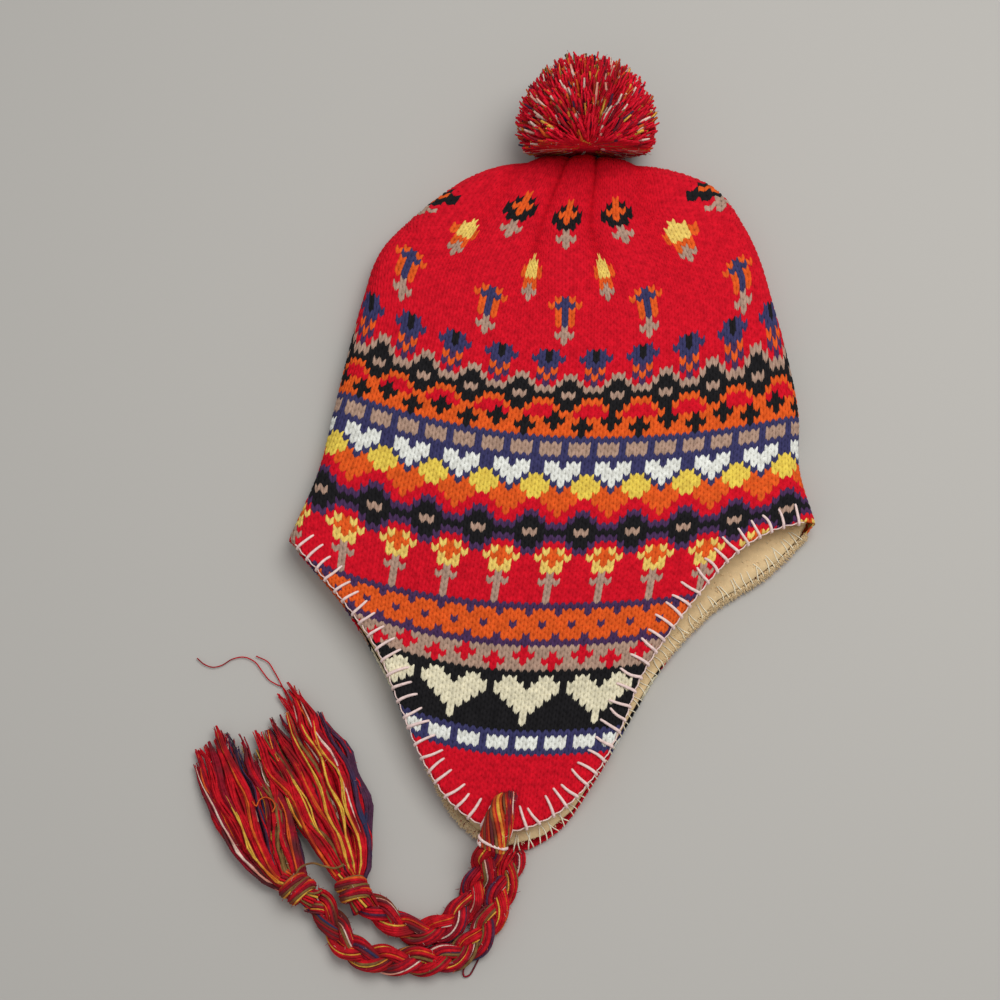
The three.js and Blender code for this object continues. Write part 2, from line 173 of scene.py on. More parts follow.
# Ties: centre lines from the flap to the knot
UPPER_ROUTE = (
    (-21.8, -175.8, 18.0), (-23.7, -180.5, 20.8), (-26.3, -189.1, 21.6), (-29, -197.5, 20.2),
    (-32.2, -205, 15), (-35.3, -212, 9.8), (-38.4, -218.9, 7.2), (-42.4, -225.4, 6.8), (-47.7, -231.2, 6.8),
    (-54.3, -234.6, 6.8), (-61.5, -235, 6.8), (-68.6, -232.9, 6.8), (-74.9, -228.9, 6.8),
    (-80.4, -225, 6.8), (-85, -221.6, 6.8),
)
LOWER_ROUTE = (
    (-18.9, -199.8, 6.8), (-19.5, -205, 6.8), (-20.9, -211.4, 6.8), (-23.2, -218.8, 6.8),
    (-26.3, -227.2, 6.8), (-30.8, -235.5, 6.8), (-36.5, -242.4, 6.8), (-44, -247, 6.8),
    (-52.4, -249, 6.8), (-62.1, -249.6, 6.8), (-71.9, -249.4, 6.8), (-81.6, -247.7, 6.8),
    (-90.1, -243.6, 6.8), (-96.5, -237, 6.8), (-100.8, -229.5, 6.8), (-104.9, -224, 6.8),
    (-109.3, -220.6, 6.8),
)
UPPER_KNOT = (-90.6, -217.2, 7.4)
LOWER_KNOT = (-115.4, -216.6, 6.9)
# Tassel locks: middle x, middle y, tip x, tip y
UPPER_TASSEL = {
    "base": (-91.8, -208.4),
    "neck": 6.0,
    "locks": (
        (-88, -176, -114, -130), (-93, -172, -120, -122), (-99, -169, -126, -117),
        (-105, -169, -129, -122), (-110, -172, -132, -134), (-114, -177, -134, -141),
        (-115, -180, -138, -138), (-117, -183, -139, -146),
    ),
}
LOWER_TASSEL = {
    "base": (-122.3, -211.3),
    "neck": 8.0,
    "locks": (
        (-151, -189, -168, -155), (-148, -184, -164, -147), (-143, -180, -160, -139),
        (-138, -177, -154, -138), (-133, -176, -148, -143), (-129, -178, -142, -152),
        (-125, -181, -135, -155), (-121, -185, -130, -163),
    ),
}

# The photograph's view
CAMERA_TARGET = (-25.0, -31.5, 8.0)
CAMERA_DISTANCE = 933.0
CAMERA_ELEVATION = 70.0
CAMERA_LENS = 69.98
SENSOR = 36.0

# Floor and light: the lamps' places in metres, sizes and powers
FLOOR_HALF_SIZE = 15.0
FLOOR_COLOUR = (0.5, 0.478, 0.44, 1)
SKY_COLOUR = (0.95, 0.97, 1.0, 1)
SKY_STRENGTH = 0.43
LAMPS = (("key", (0.34, 0.22, 1.1), 0.85, 8.9), ("fill", (-0.6, -0.9, 1.3), 1.4, 1.0))


def linear(colour):
    """An sRGB colour of 0 to 255 as a linear one."""
    shares = np.asarray(colour, float) / 255
    return tuple(np.where(shares <= 0.04045, shares / 12.92, ((shares + 0.055) / 1.055) ** 2.4))


# Materials: noise sizes are per metre

DYE_NOISE = {"Scale": 330.0, "Detail": 3.0, "Roughness": 0.6}
FIBRE_NOISE = {"Scale": 2600.0, "Detail": 2.0, "Roughness": 0.7}
FIBRE_SHADE_SHARE = 0.6  # of the fine fibre noise in the colour: painted shade between fibres, on top of the dye's unevenness
DARK_SPREAD = 1.6  # how much more the dye darkens than it lightens
PALE_FIBRE = 0.02
PLY_WAVE = {"Scale": 1.0, "Distortion": 1.5, "Detail": 1.0}
FIBRE_RELIEF = 0.0004
SHEEN_GAIN, SHEEN_GREY = 1.2, 0.03
# Where the painted shade in a knit leg's creases starts, from its middle towards its edges and its ends
CREASE_SHADE_STARTS = (("X", 0.22), ("Y", 0.34))
PATCH_NOISE = {"Scale": 75.0, "Detail": 1.0}
PATCH_RANGE = {"From_Min": 0.5, "From_Max": 0.66}


def set_inputs(tree, node, **sockets):
    """Sets a node's sockets to values, or links them to other nodes' outputs."""
    for name, value in sockets.items():
        socket = node.inputs[name.replace("_", " ")]
        if isinstance(value, bpy.types.NodeSocket):
            tree.links.new(value, socket)
        else:
            socket.default_value = value


def add_node(tree, kind, operation=None, **sockets):
    node = tree.nodes.new(kind)
    if operation:
        node.operation = operation
    set_inputs(tree, node, **sockets)
    return node


def math_node(tree, operation, *inputs):
    """The result of a calculation with other nodes' outputs and plain numbers."""
    node = add_node(tree, "ShaderNodeMath", operation)
    for socket, value in zip(node.inputs, inputs):
        if isinstance(value, float):
            socket.default_value = value
        else:
            tree.links.new(value, socket)
    return node.outputs[0]


def shade_in_creases(tree, place, tint, crease_shade):
    """Paints shade into a knit leg's colour towards its edges and ends, where it dips between its neighbours.
    """
    apart = add_node(tree, "ShaderNodeSeparateXYZ", Vector=place.outputs["UV"])
    for axis, start in CREASE_SHADE_STARTS:
        off = math_node(tree, "ABSOLUTE", math_node(tree, "SUBTRACT", apart.outputs[axis], 0.5))
        fade = add_node(tree, "ShaderNodeMapRange", Value=off, From_Min=start, From_Max=0.5,
                        To_Min=1.0, To_Max=crease_shade)
        darker = add_node(tree, "ShaderNodeVectorMath", "SCALE", Vector=tint, Scale=fade.outputs["Result"])
        tint = darker.outputs["Vector"]
    return tint


def space_dyed(tree, place, tint, other):
    """Turns a yarn's colour into another one here and there along it."""
    patch = add_node(tree, "ShaderNodeTexNoise", Vector=place.outputs["Object"], **PATCH_NOISE)
    share = add_node(tree, "ShaderNodeMapRange", Value=patch.outputs["Fac"], **PATCH_RANGE)
    mixed = tree.nodes.new("ShaderNodeMix")
    mixed.data_type = "RGBA"
    mixed.inputs[7].default_value = (*linear(other), 1)
    tree.links.new(share.outputs["Result"], mixed.inputs[0])
    tree.links.new(tint, mixed.inputs[6])
    return mixed.outputs[2]


def wool(name, colour, spread=0.2, sheen=0.2, bump=0.35, twist=True, crease_shade=1.0, other=None):
    """Spun yarn: uneven dye, fine fibres with painted shade between them, and a twist along each strand."""
    material = bpy.data.materials.new(name)
    material.use_nodes = True
    tree = material.node_tree
    base = np.array(linear(colour))
    place = tree.nodes.new("ShaderNodeTexCoord")
    dye, fibre = (
        add_node(tree, "ShaderNodeTexNoise", Vector=place.outputs["Object"], **noise).outputs["Fac"]
        for noise in (DYE_NOISE, FIBRE_NOISE))
    # The dye noise is the yarn's own uneven dye; the fibre noise mixed in is painted shade between the fibres
    ramp = add_node(tree, "ShaderNodeValToRGB", Fac=math_node(tree, "MULTIPLY_ADD", fibre, FIBRE_SHADE_SHARE, dye))
    dark, pale = ramp.color_ramp.elements
    dark.position, pale.position = 0.5, 1.0
    dark.color = (*(base * (1 - DARK_SPREAD * spread)), 1)
    pale.color = (*np.minimum(base * (1 + spread) + PALE_FIBRE * spread, 1), 1)
    tint = ramp.outputs["Color"]
    if other:
        tint = space_dyed(tree, place, tint, other)
    # Painted shade where the knit legs dip between their neighbours
    if crease_shade < 1:
        tint = shade_in_creases(tree, place, tint, crease_shade)
    relief = fibre
    if twist:
        ply = add_node(tree, "ShaderNodeTexWave", Vector=place.outputs["UV"], **PLY_WAVE)
        ply.bands_direction = "DIAGONAL"
        relief = math_node(tree, "ADD", ply.outputs["Fac"], fibre)
    raised = add_node(tree, "ShaderNodeBump", Strength=bump, Distance=FIBRE_RELIEF, Height=relief)
    set_inputs(
        tree, tree.nodes["Principled BSDF"], Base_Color=tint, Normal=raised.outputs["Normal"],
        Roughness=0.9, Specular_IOR_Level=0.18, Sheen_Weight=sheen, Sheen_Roughness=0.45,
        Sheen_Tint=(*np.minimum(base * SHEEN_GAIN + SHEEN_GREY, 1), 1))
    return material


# Red stitches get less painted crease shade than the others
yarn_materials = [
    wool("yarn_" + code, YARN_COLOURS[code], crease_shade=0.9 if code == "R" else 0.76) for code in YARNS]
TIE_CODES = "RCOYPWGKB"
# Tie yarns are dyed in two colours by turns
TIE_COLOURS = {
    "R": ((196, 8, 28), (146, 22, 30)),
    "C": ((146, 10, 34), (96, 40, 44)),
    "O": ((214, 92, 30), (170, 50, 26)),
    "Y": ((228, 176, 66), (206, 110, 36)),
    "P": ((78, 40, 66), (50, 52, 84)),
    "W": ((238, 198, 182), (226, 150, 128)),
    "G": ((128, 96, 52), (110, 50, 36)),
    "K": ((38, 32, 48), (60, 30, 48)),
    "B": ((232, 12, 44), (204, 6, 36)),
}
tie_materials = [
    wool("tie_" + code, TIE_COLOURS[code][0], spread=0.3, other=TIE_COLOURS[code][1]) for code in TIE_CODES]


def tie_numbers(codes):
    return np.array([TIE_CODES.index(code) for code in codes])


stitch_material = wool("stitch_thread", (246, 214, 206), spread=0.12)
lining_thread_material = wool("lining_thread", (252, 238, 210), spread=0.08)
# The pile is the fleece's colour painted lighter: a painted lift against the shade on its fibres, which face
# forward and down
pile_lightened_material = wool("fleece_pile", (246, 220, 176), spread=0.08, sheen=0.4, twist=False)
fleece_material = wool("fleece", (226, 196, 148), spread=0.07, sheen=0.5, bump=0.25, twist=False)


# Outline curves and the bag's surface, in millimetres

OUTLINE_STEP = 0.6
OVERRUN = 12.0  # by which an edge is carried on past its ends
CURVE_PARTS = 60
DOME_POWER = 1.2
SLOPE_STEP = 0.5


def unit(vectors):
    """Vectors of length one, along the last axis."""
    return vectors / np.linalg.norm(vectors, axis=-1, keepdims=True)


def smooth_line(points, spacing):
    """Points evenly spaced along a centripetal Catmull-Rom curve."""
    knots = np.asarray(points, float)
    padded = np.vstack((2 * knots[0] - knots[1], knots, 2 * knots[-1] - knots[-2]))
    pieces = []
    for i in range(1, len(padded) - 2):
        p0, p1, p2, p3 = padded[i - 1:i + 3]
        d0, d1, d2 = (max(np.linalg.norm(b - a), 1e-6) ** 0.5 for a, b in ((p0, p1), (p1, p2), (p2, p3)))
        m1 = ((p1 - p0) / d0 - (p2 - p0) / (d0 + d1) + (p2 - p1) / d1) * d1
        m2 = ((p2 - p1) / d1 - (p3 - p1) / (d1 + d2) + (p3 - p2) / d2) * d1
        u = np.linspace(0, 1, CURVE_PARTS, endpoint=False)[:, None]
        pieces.append((2 * u**3 - 3 * u**2 + 1) * p1 + (u**3 - 2 * u**2 + u) * m1
                      + (3 * u**2 - 2 * u**3) * p2 + (u**3 - u**2) * m2)
    line = np.vstack((*pieces, knots[-1]))
    return spaced(line, spacing)


def spaced(line, spacing):
    """A polyline resampled to an even spacing."""
    steps = np.linalg.norm(np.diff(line, axis=0), axis=1)
    along = np.concatenate(((0,), np.cumsum(steps)))
    count = max(2, int(round(along[-1] / spacing)) + 1)
    wanted = np.linspace(0, along[-1], count)
    return np.stack([np.interp(wanted, along, line[:, k]) for k in range(line.shape[1])], axis=1)


def left_normals(line):
    """Unit normals in plan, to the left of the way along a line."""
    tangents = unit(np.gradient(line[:, :2], axis=0))
    return np.stack((-tangents[:, 1], tangents[:, 0]), axis=1)


class Edge:
    """A rounded edge of the bag: points past its inset line bend round it."""

    def __init__(self, line, outward, radius, most_turn):
        self.line = line - radius * outward
        self.outward = outward
        self.radius = radius
        self.most_turn = most_turn
        self.tree = KDTree(len(line))
        for i, point in enumerate(self.line):
            self.tree.insert((*point, 0), i)
        self.tree.balance()

    def bend(self, plan):
        """Plan places after bending, the turn at each, the outward way, and which are past the end."""
        found = np.array([self.tree.find((x, y, 0))[1] for x, y in plan])
        outward = self.outward[found]
        past = np.einsum("ij,ij->i", plan - self.line[found], outward)
        turn = np.clip(past / self.radius, 0, self.most_turn)
        moved = plan + (self.radius * np.sin(turn) - np.maximum(past, 0))[:, None] * outward
        return moved, turn, outward, past > self.radius * self.most_turn


def extended(line):
    """A line carried straight on at both ends."""
    first = line[0] + unit(line[0] - line[1]) * OVERRUN
    last = line[-1] + unit(line[-1] - line[-2]) * OVERRUN
    return spaced(np.vstack((first, line, last)), OUTLINE_STEP)


folds = np.array(FOLDS, float)
left_fold = smooth_line(folds[:, :2], OUTLINE_STEP)
right_fold = smooth_line(folds[:, 2:], OUTLINE_STEP)
fold_line = extended(np.vstack((left_fold[::-1], right_fold[1:])))
fold_edge = Edge(fold_line, left_normals(fold_line), FOLD_RADIUS, math.pi / 2)
rim_points = np.array(RIM, float)
rim_lines = {
    "upper": smooth_line(rim_points[:, :2], OUTLINE_STEP),
    "lower": smooth_line(rim_points[:, 2:], OUTLINE_STEP),
}
rim_edges = {}
for layer_name, rim_line in rim_lines.items():
    long_rim = extended(rim_line)
    rim_edges[layer_name] = Edge(long_rim, -left_normals(long_rim), LIP_RADIUS, 0.9 * math.pi)


def upper_face(x, y):
    """Height of the upper layer's face."""
    across = (x - BULGE["x"]) / BULGE["half_width"]
    along = (y - BULGE["y"]) / BULGE["half_length"]
    dome = np.maximum(0, 1 - across**2 - along**2) ** DOME_POWER
    sunk = np.clip((y - DROOP["from"]) / (DROOP["to"] - DROOP["from"]), 0, 1)
    return 2 * FOLD_RADIUS + (BULGE["height"] * dome - DROOP["depth"] * sunk**2 * (3 - 2 * sunk))


def bag_surface(plan, layer):
    """Places and normals on the knit's outer face for flat fabric laid over the bag."""
    bent, fold_turn, fold_out, past_fold = fold_edge.bend(plan)
    bent, rim_turn, rim_out, past_rim = rim_edges[layer].bend(bent)
    x, y = bent.T
    step = SLOPE_STEP
    slope_x = (upper_face(x + step, y) - upper_face(x - step, y)) / (2 * step)
    slope_y = (upper_face(x, y + step) - upper_face(x, y - step)) / (2 * step)
    lip = LIP_RADIUS * (1 - np.cos(rim_turn))
    if layer == "upper":
        top = upper_face(x, y) - FOLD_RADIUS
        z = FOLD_RADIUS + top * np.cos(fold_turn) - lip
        face = np.stack((-slope_x, -slope_y, np.ones_like(x)), axis=1)
    else:
        z = FOLD_RADIUS - FOLD_RADIUS * np.cos(fold_turn) + lip
        face = np.stack((0 * x, 0 * x, -np.ones_like(x)), axis=1)
    normal = unit(face)
    for turn, way in ((fold_turn, fold_out), (rim_turn, rim_out)):
        normal = np.cos(turn)[:, None] * normal + np.sin(turn)[:, None] * np.column_stack((way, 0 * x))
    return np.column_stack((x, y, z)), unit(normal), past_fold | past_rim


# Meshes from arrays

WELD_DIGITS = 4  # decimals of a millimetre in which the corners of one vertex agree
TWIST_LENGTH = 5.0  # of one turn of the ply, in strand radii


def placed(name, data):
    """A new object in the scene."""
    thing = bpy.data.objects.new(name, data)
    bpy.context.scene.collection.objects.link(thing)
    return thing


def mesh_object(name, points, faces, materials, numbers, node=None, uv=None):
    """A smooth mesh piece of quads or triangles; numbers are its faces' materials, or one for all.

    It may replace a CAD node.
    """
    mesh = bpy.data.meshes.new(name)
    faces = np.asarray(faces, np.int32)
    corner_uv = None if uv is None else np.asarray(uv, np.float32)[faces.ravel()]
    points, joined = np.unique(np.round(points, WELD_DIGITS), axis=0, return_inverse=True)
    faces = joined.reshape(-1)[faces].astype(np.int32)
    mesh.from_pydata(np.asarray(points, np.float32) * MM, [], faces, shade_flat=False)
    for material in materials:
        mesh.materials.append(material)
    mesh.polygons.foreach_set("material_index", np.broadcast_to(numbers, len(faces)).astype(np.int32))
    if uv is not None:
        layer = mesh.uv_layers.new(name="yarn")
        layer.data.foreach_set("uv", corner_uv.ravel())
    mesh.validate()
    piece = placed(name, mesh)
    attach(piece, "root")
    if node:
        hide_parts(node)
    return piece


def strand_arrays(paths, radii, sides):
    """Tubes along many paths of equal point counts: vertices, quads and UVs."""
    paths = np.asarray(paths, float)
    strands, count, _ = paths.shape
    radii = np.broadcast_to(radii, (strands, count))
    tangents = np.gradient(paths, axis=1)
    tangents /= np.maximum(np.linalg.norm(tangents, axis=2), 1e-9)[:, :, None]
    guide = np.where(np.abs(tangents[:, :1, 2:]) < 0.8, (0.0, 0.0, 1.0), (1.0, 0.0, 0.0))[:, 0]
    sideways = np.zeros_like(paths)
    for i in range(count):
        along = np.einsum("ij,ij->i", guide, tangents[:, i])
        guide = guide - along[:, None] * tangents[:, i]
        guide /= np.maximum(np.linalg.norm(guide, axis=1), 1e-9)[:, None]
        sideways[:, i] = guide
    upwards = np.cross(tangents, sideways)
    turn = math.tau * np.arange(sides) / sides
    ring = (np.cos(turn)[:, None] * sideways[:, :, None] + np.sin(turn)[:, None] * upwards[:, :, None])
    points = (paths[:, :, None] + radii[:, :, None, None] * ring).reshape(-1, 3)
    steps = np.linalg.norm(np.diff(paths, axis=1), axis=2)
    lengths = np.concatenate((np.zeros((strands, 1)), np.cumsum(steps, axis=1)), axis=1)
    widest = radii.max(axis=1)[:, None]
    around = np.broadcast_to(np.arange(sides) / sides, (strands, count, sides))
    along = np.broadcast_to((lengths / (TWIST_LENGTH * widest))[:, :, None], (strands, count, sides))
    uv = np.stack((around, along), axis=3).reshape(-1, 2)
    index = np.arange(strands * count * sides).reshape(strands, count, sides)
    a, b = index[:, :-1], index[:, 1:]
    faces = np.stack((a, np.roll(a, -1, axis=2), np.roll(b, -1, axis=2), b), axis=3)
    return points, faces.reshape(-1, 4), uv


def strands_object(name, groups, materials, sides, node=None):
    """A piece of yarn strands; each group is paths, radii and one material number or one for each strand."""
    points, faces, uvs, all_numbers = [], [], [], []
    start = 0
    for paths, radii, numbers in groups:
        vertices, quads, uv = strand_arrays(paths, radii, sides)
        points.append(vertices)
        faces.append(quads + start)
        uvs.append(uv)
        all_numbers.append(np.repeat(np.broadcast_to(numbers, len(paths)), len(quads) // len(paths)))
        start += len(vertices)
    return mesh_object(name, np.vstack(points), np.vstack(faces), materials, np.concatenate(all_numbers),
                       node, np.vstack(uvs))


# Knit

def chart_code(row, column):
    code = "R"
    for first, middle, pair in TORCH_PLACES:
        torch = TORCHES[pair]
        line, place = row - first, column - middle + len(torch[0]) // 2
        if 0 <= line < len(torch) and 0 <= place < len(torch[0]):
            mark = torch[line][place]
            if mark != ".":
                code = {"a": pair[0], "b": pair[1]}.get(mark, mark)
    for first, shift, rows in BANDS:
        if first <= row < first + len(rows):
            repeat = rows[row - first]
            mark = repeat[(column + shift) % len(repeat)]
            if mark != ".":
                code = mark
    return code


def fabric_plan(rows, columns):
    """Plan places of knit coordinates on the flat, unrolled bag."""
    pivot, x, y, width, narrowing, bunching, left, right = (
        np.interp(rows, COURSES[:, 0], COURSES[:, k]) for k in range(1, 9))
    offset = columns - pivot
    wave = np.sin(math.tau * (columns - GATHER_VALLEY - GATHER_REPEAT / 2) / GATHER_REPEAT)
    offset = offset + bunching * wave * np.exp(-(offset / BUNCH_SPAN) ** 4)
    across = width * offset * (1 - narrowing * (offset / COURSE_SPAN) ** 4)
    climb = np.where(across < 0, left, right) * across**2
    return np.stack((x + across, y + climb), axis=-1)


def gather_depth(rows, columns):
    """How deep the crown's pleats fold in, between the motifs."""
    valley = 0.5 + 0.5 * np.cos(math.tau * (columns - GATHER_VALLEY) / GATHER_REPEAT)
    return np.interp(rows, GATHER_DEPTH[:, 0], GATHER_DEPTH[:, 1]) * valley**GATHER_SHARPNESS


def fabric_faces(name, layer, rows, columns, heights, codes, quads, uv):
    """A knit piece of small patches: knit coordinates and heights of each patch's corners, on the bag."""
    corners = rows.shape[1]
    places, normals, past = bag_surface(fabric_plan(rows, columns).reshape(-1, 2), layer)
    lift = (heights - gather_depth(rows, columns)).reshape(-1, 1)
    if layer == "lower":
        lift = lift - STITCH_HEIGHT + STITCH_SINK
    kept = ~past.reshape(-1, corners).all(axis=1)
    places = (places + lift * normals).reshape(-1, corners, 3)[kept]
    faces = quads[kept] + (np.arange(len(places)) * corners)[:, None, None]
    if layer == "lower":
        places[..., 2] = np.maximum(places[..., 2], FLOOR_GAP)
        faces = faces[..., ::-1]
    numbers = np.repeat(codes[kept], quads.shape[1])
    mesh_object(name, places.reshape(-1, 3), faces.reshape(-1, 4), yarn_materials, numbers,
                "knit_shell", np.tile(uv, (len(places), 1)))


def knit_layer(layer):
    """Stockinette: every stitch is two leaning legs, each a small raised grain, over a plain base."""
    rows, columns = np.meshgrid(
        np.arange(FIRST_ROW, LAST_ROW + 1), np.arange(-MOST_COLUMNS, MOST_COLUMNS + 1), indexing="ij")
    rows, columns = rows.ravel(), columns.ravel()
    codes = np.array([YARNS.index(chart_code(r, c)) for r, c in zip(rows, columns)])
    sides = np.array((-1.0, 0.0, 1.0))
    down, out, half, crest, border = (LEG[:, k:k + 1] for k in range(5))
    leg_rows = (down + 0 * sides).ravel()
    leg_out = (out - half * sides).ravel()
    leg_height = STITCH_HEIGHT * np.where(sides == 0, crest, border).ravel() - STITCH_SINK
    uv = np.stack(np.broadcast_arrays((sides + 1) / 2, np.linspace(0, 1, len(LEG))[:, None]), axis=-1)
    grid = np.arange(3 * len(LEG)).reshape(len(LEG), 3)
    quads = np.stack((grid[:-1, :-1], grid[1:, :-1], grid[1:, 1:], grid[:-1, 1:]), axis=-1).reshape(-1, 4)
    hand = np.tile((-1.0, 1.0), len(rows))[:, None]
    turned = np.where(hand[:, :, None] < 0, quads, quads[:, ::-1])
    uneven = 1 + rng.normal(0, STITCH_SPREAD, (2 * len(rows), 1))
    fabric_faces(
        "knit_" + layer, layer,
        np.repeat(rows, 2)[:, None] + leg_rows,
        np.repeat(columns, 2)[:, None] + hand * leg_out,
        leg_height * uneven, np.repeat(codes, 2), turned, uv.reshape(-1, 2))
    square = np.array(((-0.5, -0.5), (0.5, -0.5), (0.5, 0.5), (-0.5, 0.5)))
    fabric_faces(
        "knit_base_" + layer, layer,
        rows[:, None] + square[:, 0], columns[:, None] + square[:, 1],
        np.full((len(rows), 4), -BASE_SINK), codes,
        np.tile(np.arange(4), (len(rows), 1, 1)), np.zeros((4, 2)))


knit_layer("upper")
knit_layer("lower")


# Blanket stitch round both rims

STITCH_SPACING = 6.9
STITCH_REACH = 8.6
STITCH_RADIUS = 0.52
# Share along a stitch, and its radius there in stitch radii
STITCH_SWELL = ((0, 0.06, 0.2, 0.4, 0.9, 1), (0.4, 1.0, 1.45, 1.6, 1.1, 0.5))
EDGE_RADIUS = 0.32
EDGE_PULL = 0.35  # of the linking thread, in and out between two stitches
EDGE_OUT, EDGE_DEPTH = 0.15, 0.9
CORNER_ROOM = 8.0  # bare rim next to each corner
RIM_STEP = 0.5
# Unevenness of the stitches: along the rim, in direction, in length and sideways
PLACE_SPREAD, TURN_SPREAD, LENGTH_SPREAD, BOW_SPREAD = 0.07, 0.1, 0.12, 0.35
# Section of one stitch across the rim: distance in from the edge, and depth below the knit's face
STITCH_SECTION = (
    (1.04, 0.9), (0.98, -0.25), (0.8, -0.6), (0.5, -0.7), (0.2, -0.6), (0.02, 0.1),
    (-0.06, 1.2), (-0.04, 2.6), (0.06, 4.2), (0.3, 6.2), (0.6, 6.5), (0.95, 6.3), (1.02, 5.4),
)
SECTION_STEP = 0.24
# The finer stitch across the lining, leaning to and fro
FINE_SECTION = ((-0.02, 3.2), (0.05, 5.0), (0.25, 5.95), (0.6, 6.1), (1.0, 5.9), (1.05, 4.9))
FINE_SPACING = 3.3
FINE_REACH = 6.6
FINE_RADIUS = 0.3
FINE_TURNS = (-0.3, 0.05)
FINE_FROM = -35.0  # they are made where the mouth shows them


def fine_rim(layer):
    """A rim in small steps, and the outward way at each."""
    rim = spaced(rim_lines[layer], RIM_STEP)
    return rim, -left_normals(rim)


def rim_stitches(layer, spacing, section, reach, turns):
    """Stitch threads across a rim, at a spacing along it."""
    rim, outward = fine_rim(layer)
    along = np.arange(CORNER_ROOM, RIM_STEP * (len(rim) - 1) - CORNER_ROOM, spacing)
    along = along + rng.normal(0, PLACE_SPREAD * spacing, len(along))
    section = smooth_line(section, SECTION_STEP)
    threads = []
    for distance in along:
        i = int(distance / RIM_STEP)
        turn = rng.normal(0, TURN_SPREAD) + turns[len(threads) % len(turns)]
        way = np.array((
            outward[i, 0] * math.cos(turn) - outward[i, 1] * math.sin(turn),
            outward[i, 0] * math.sin(turn) + outward[i, 1] * math.cos(turn),
        ))
        length = reach * rng.uniform(1 - LENGTH_SPREAD, 1 + LENGTH_SPREAD)
        plan = rim[i] - section[:, :1] * length * way
        bow = rng.normal(0, BOW_SPREAD) * np.sin(math.pi * np.clip(section[:, :1], 0, 1))
        plan = plan + bow * np.array((-way[1], way[0]))
        threads.append(stand_on_layer(plan, section[:, 1], layer))
    return np.array(threads)


def stand_on_layer(plan, depth, layer):
    """Places at a depth under a layer's outer face."""
    if layer == "upper":
        z = upper_face(plan[:, 0], plan[:, 1]) - depth
    else:
        z = np.maximum(depth, STITCH_RADIUS)
    return np.column_stack((plan, z))


def blanket_stitch():
    """Pale thread over the upper rim, linked along its edge."""
    spokes = rim_stitches("upper", STITCH_SPACING, STITCH_SECTION, STITCH_REACH, (0.0,))
    rim, outward = fine_rim("upper")
    wave = np.cos(math.tau * (np.arange(len(rim)) * RIM_STEP - CORNER_ROOM) / STITCH_SPACING)
    run_plan = (rim + (EDGE_OUT - EDGE_PULL * wave)[:, None] * outward)[12:-12:3]
    run = stand_on_layer(run_plan, np.full(len(run_plan), EDGE_DEPTH), "upper")[None]
    radii = STITCH_RADIUS * np.interp(np.linspace(0, 1, spokes.shape[1]), *STITCH_SWELL)
    threads = [(spokes, radii, 0), (run, EDGE_RADIUS, 0)]
    strands_object("blanket_stitch_upper", threads, [stitch_material], 5)


def lining_stitch():
    """Finer thread across the lining at the lower rim."""
    threads = rim_stitches("lower", FINE_SPACING, FINE_SECTION, FINE_REACH, FINE_TURNS)
    threads = threads[threads[:, 0, 0] > FINE_FROM]
    threads = [(threads, FINE_RADIUS, 0)]
    strands_object("blanket_stitch_lower", threads, [lining_thread_material], 4)


blanket_stitch()
lining_stitch()


# Fleece lining: the CAD sheet, made finer and tufted

LINING_SHRINK = 0.02  # keeps the tufts inside the knit under the crown
SHRINK_FROM, SHRINK_OVER = 40.0, 60.0
TUFT = {"size": 0.004, "height": 0.0016, "level": 0.62}  # in metres
# Pile along the lower rim: from x, to x, fibres, first and last depth inside the rim, outward share
PILE = (
    (-66.0, -25.0, 2300, -0.3, 3.0, 0.9),
    (-25.0, 40.0, 600, 2.4, 9.0, 0.6),
    (52.0, 122.0, 3500, -0.3, 1.6, 1.0),
    (40.0, 122.0, 800, 1.6, 12.0, 0.9),
)
PILE_BELOW = -48.0  # the rim's corners have none
PILE_FADE = 18.0  # over which each stretch of pile grows out to the rim
PILE_EDGE = 1.6  # depth inside which the pile hangs over the rim
# Depth inside the rim, and the height of the fibres' feet there
PILE_FOOT = ((-0.3, 0.6, 2.0), (2.6, 4.9, LINING_DEPTH - 0.2))
PILE_FLOOR = 0.3
FIBRE_RADII = 0.22 * np.array((1.0, 1.0, 0.4))
FIBRE_POINTS = 3
# Ranges of the fibres: height of the feet, rise at the rim and behind it, outward lean, and length
FOOT_RANGE, RIM_RISE, BACK_RISE = (-1.3, 0.1), (-0.35, 0.3), (0.0, 0.2)
FIBRE_LEAN, FIBRE_LENGTH = (0.4, 1.0), (0.9, 1.9)
FIBRE_STRAY, FIBRE_CURL = 0.22, 0.14


def fleece_lining():
    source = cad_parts["fleece_lining"].data
    corners = np.array([source.vertices[k].co for face in source.polygons for k in face.vertices]) / MM
    inwards = LINING_SHRINK * np.clip((corners[:, 1:2] - SHRINK_FROM) / SHRINK_OVER, 0, 1)
    corners[:, :2] += inwards * (np.array((BULGE["x"], BULGE["y"])) - corners[:, :2])
    faces = np.arange(len(corners)).reshape(-1, 3)
    piece = mesh_object("lining_fleece", corners, faces, [fleece_material], 0,
                        "fleece_lining")
    finer = piece.modifiers.new("finer", "SUBSURF")
    finer.subdivision_type = "SIMPLE"
    finer.levels = finer.render_levels = 1
    tufts = bpy.data.textures.new("tufts", "CLOUDS")
    tufts.noise_scale = TUFT["size"]
    lumps = piece.modifiers.new("lumps", "DISPLACE")
    lumps.texture = tufts
    lumps.texture_coords = "LOCAL"
    lumps.strength = TUFT["height"]
    lumps.mid_level = TUFT["level"]


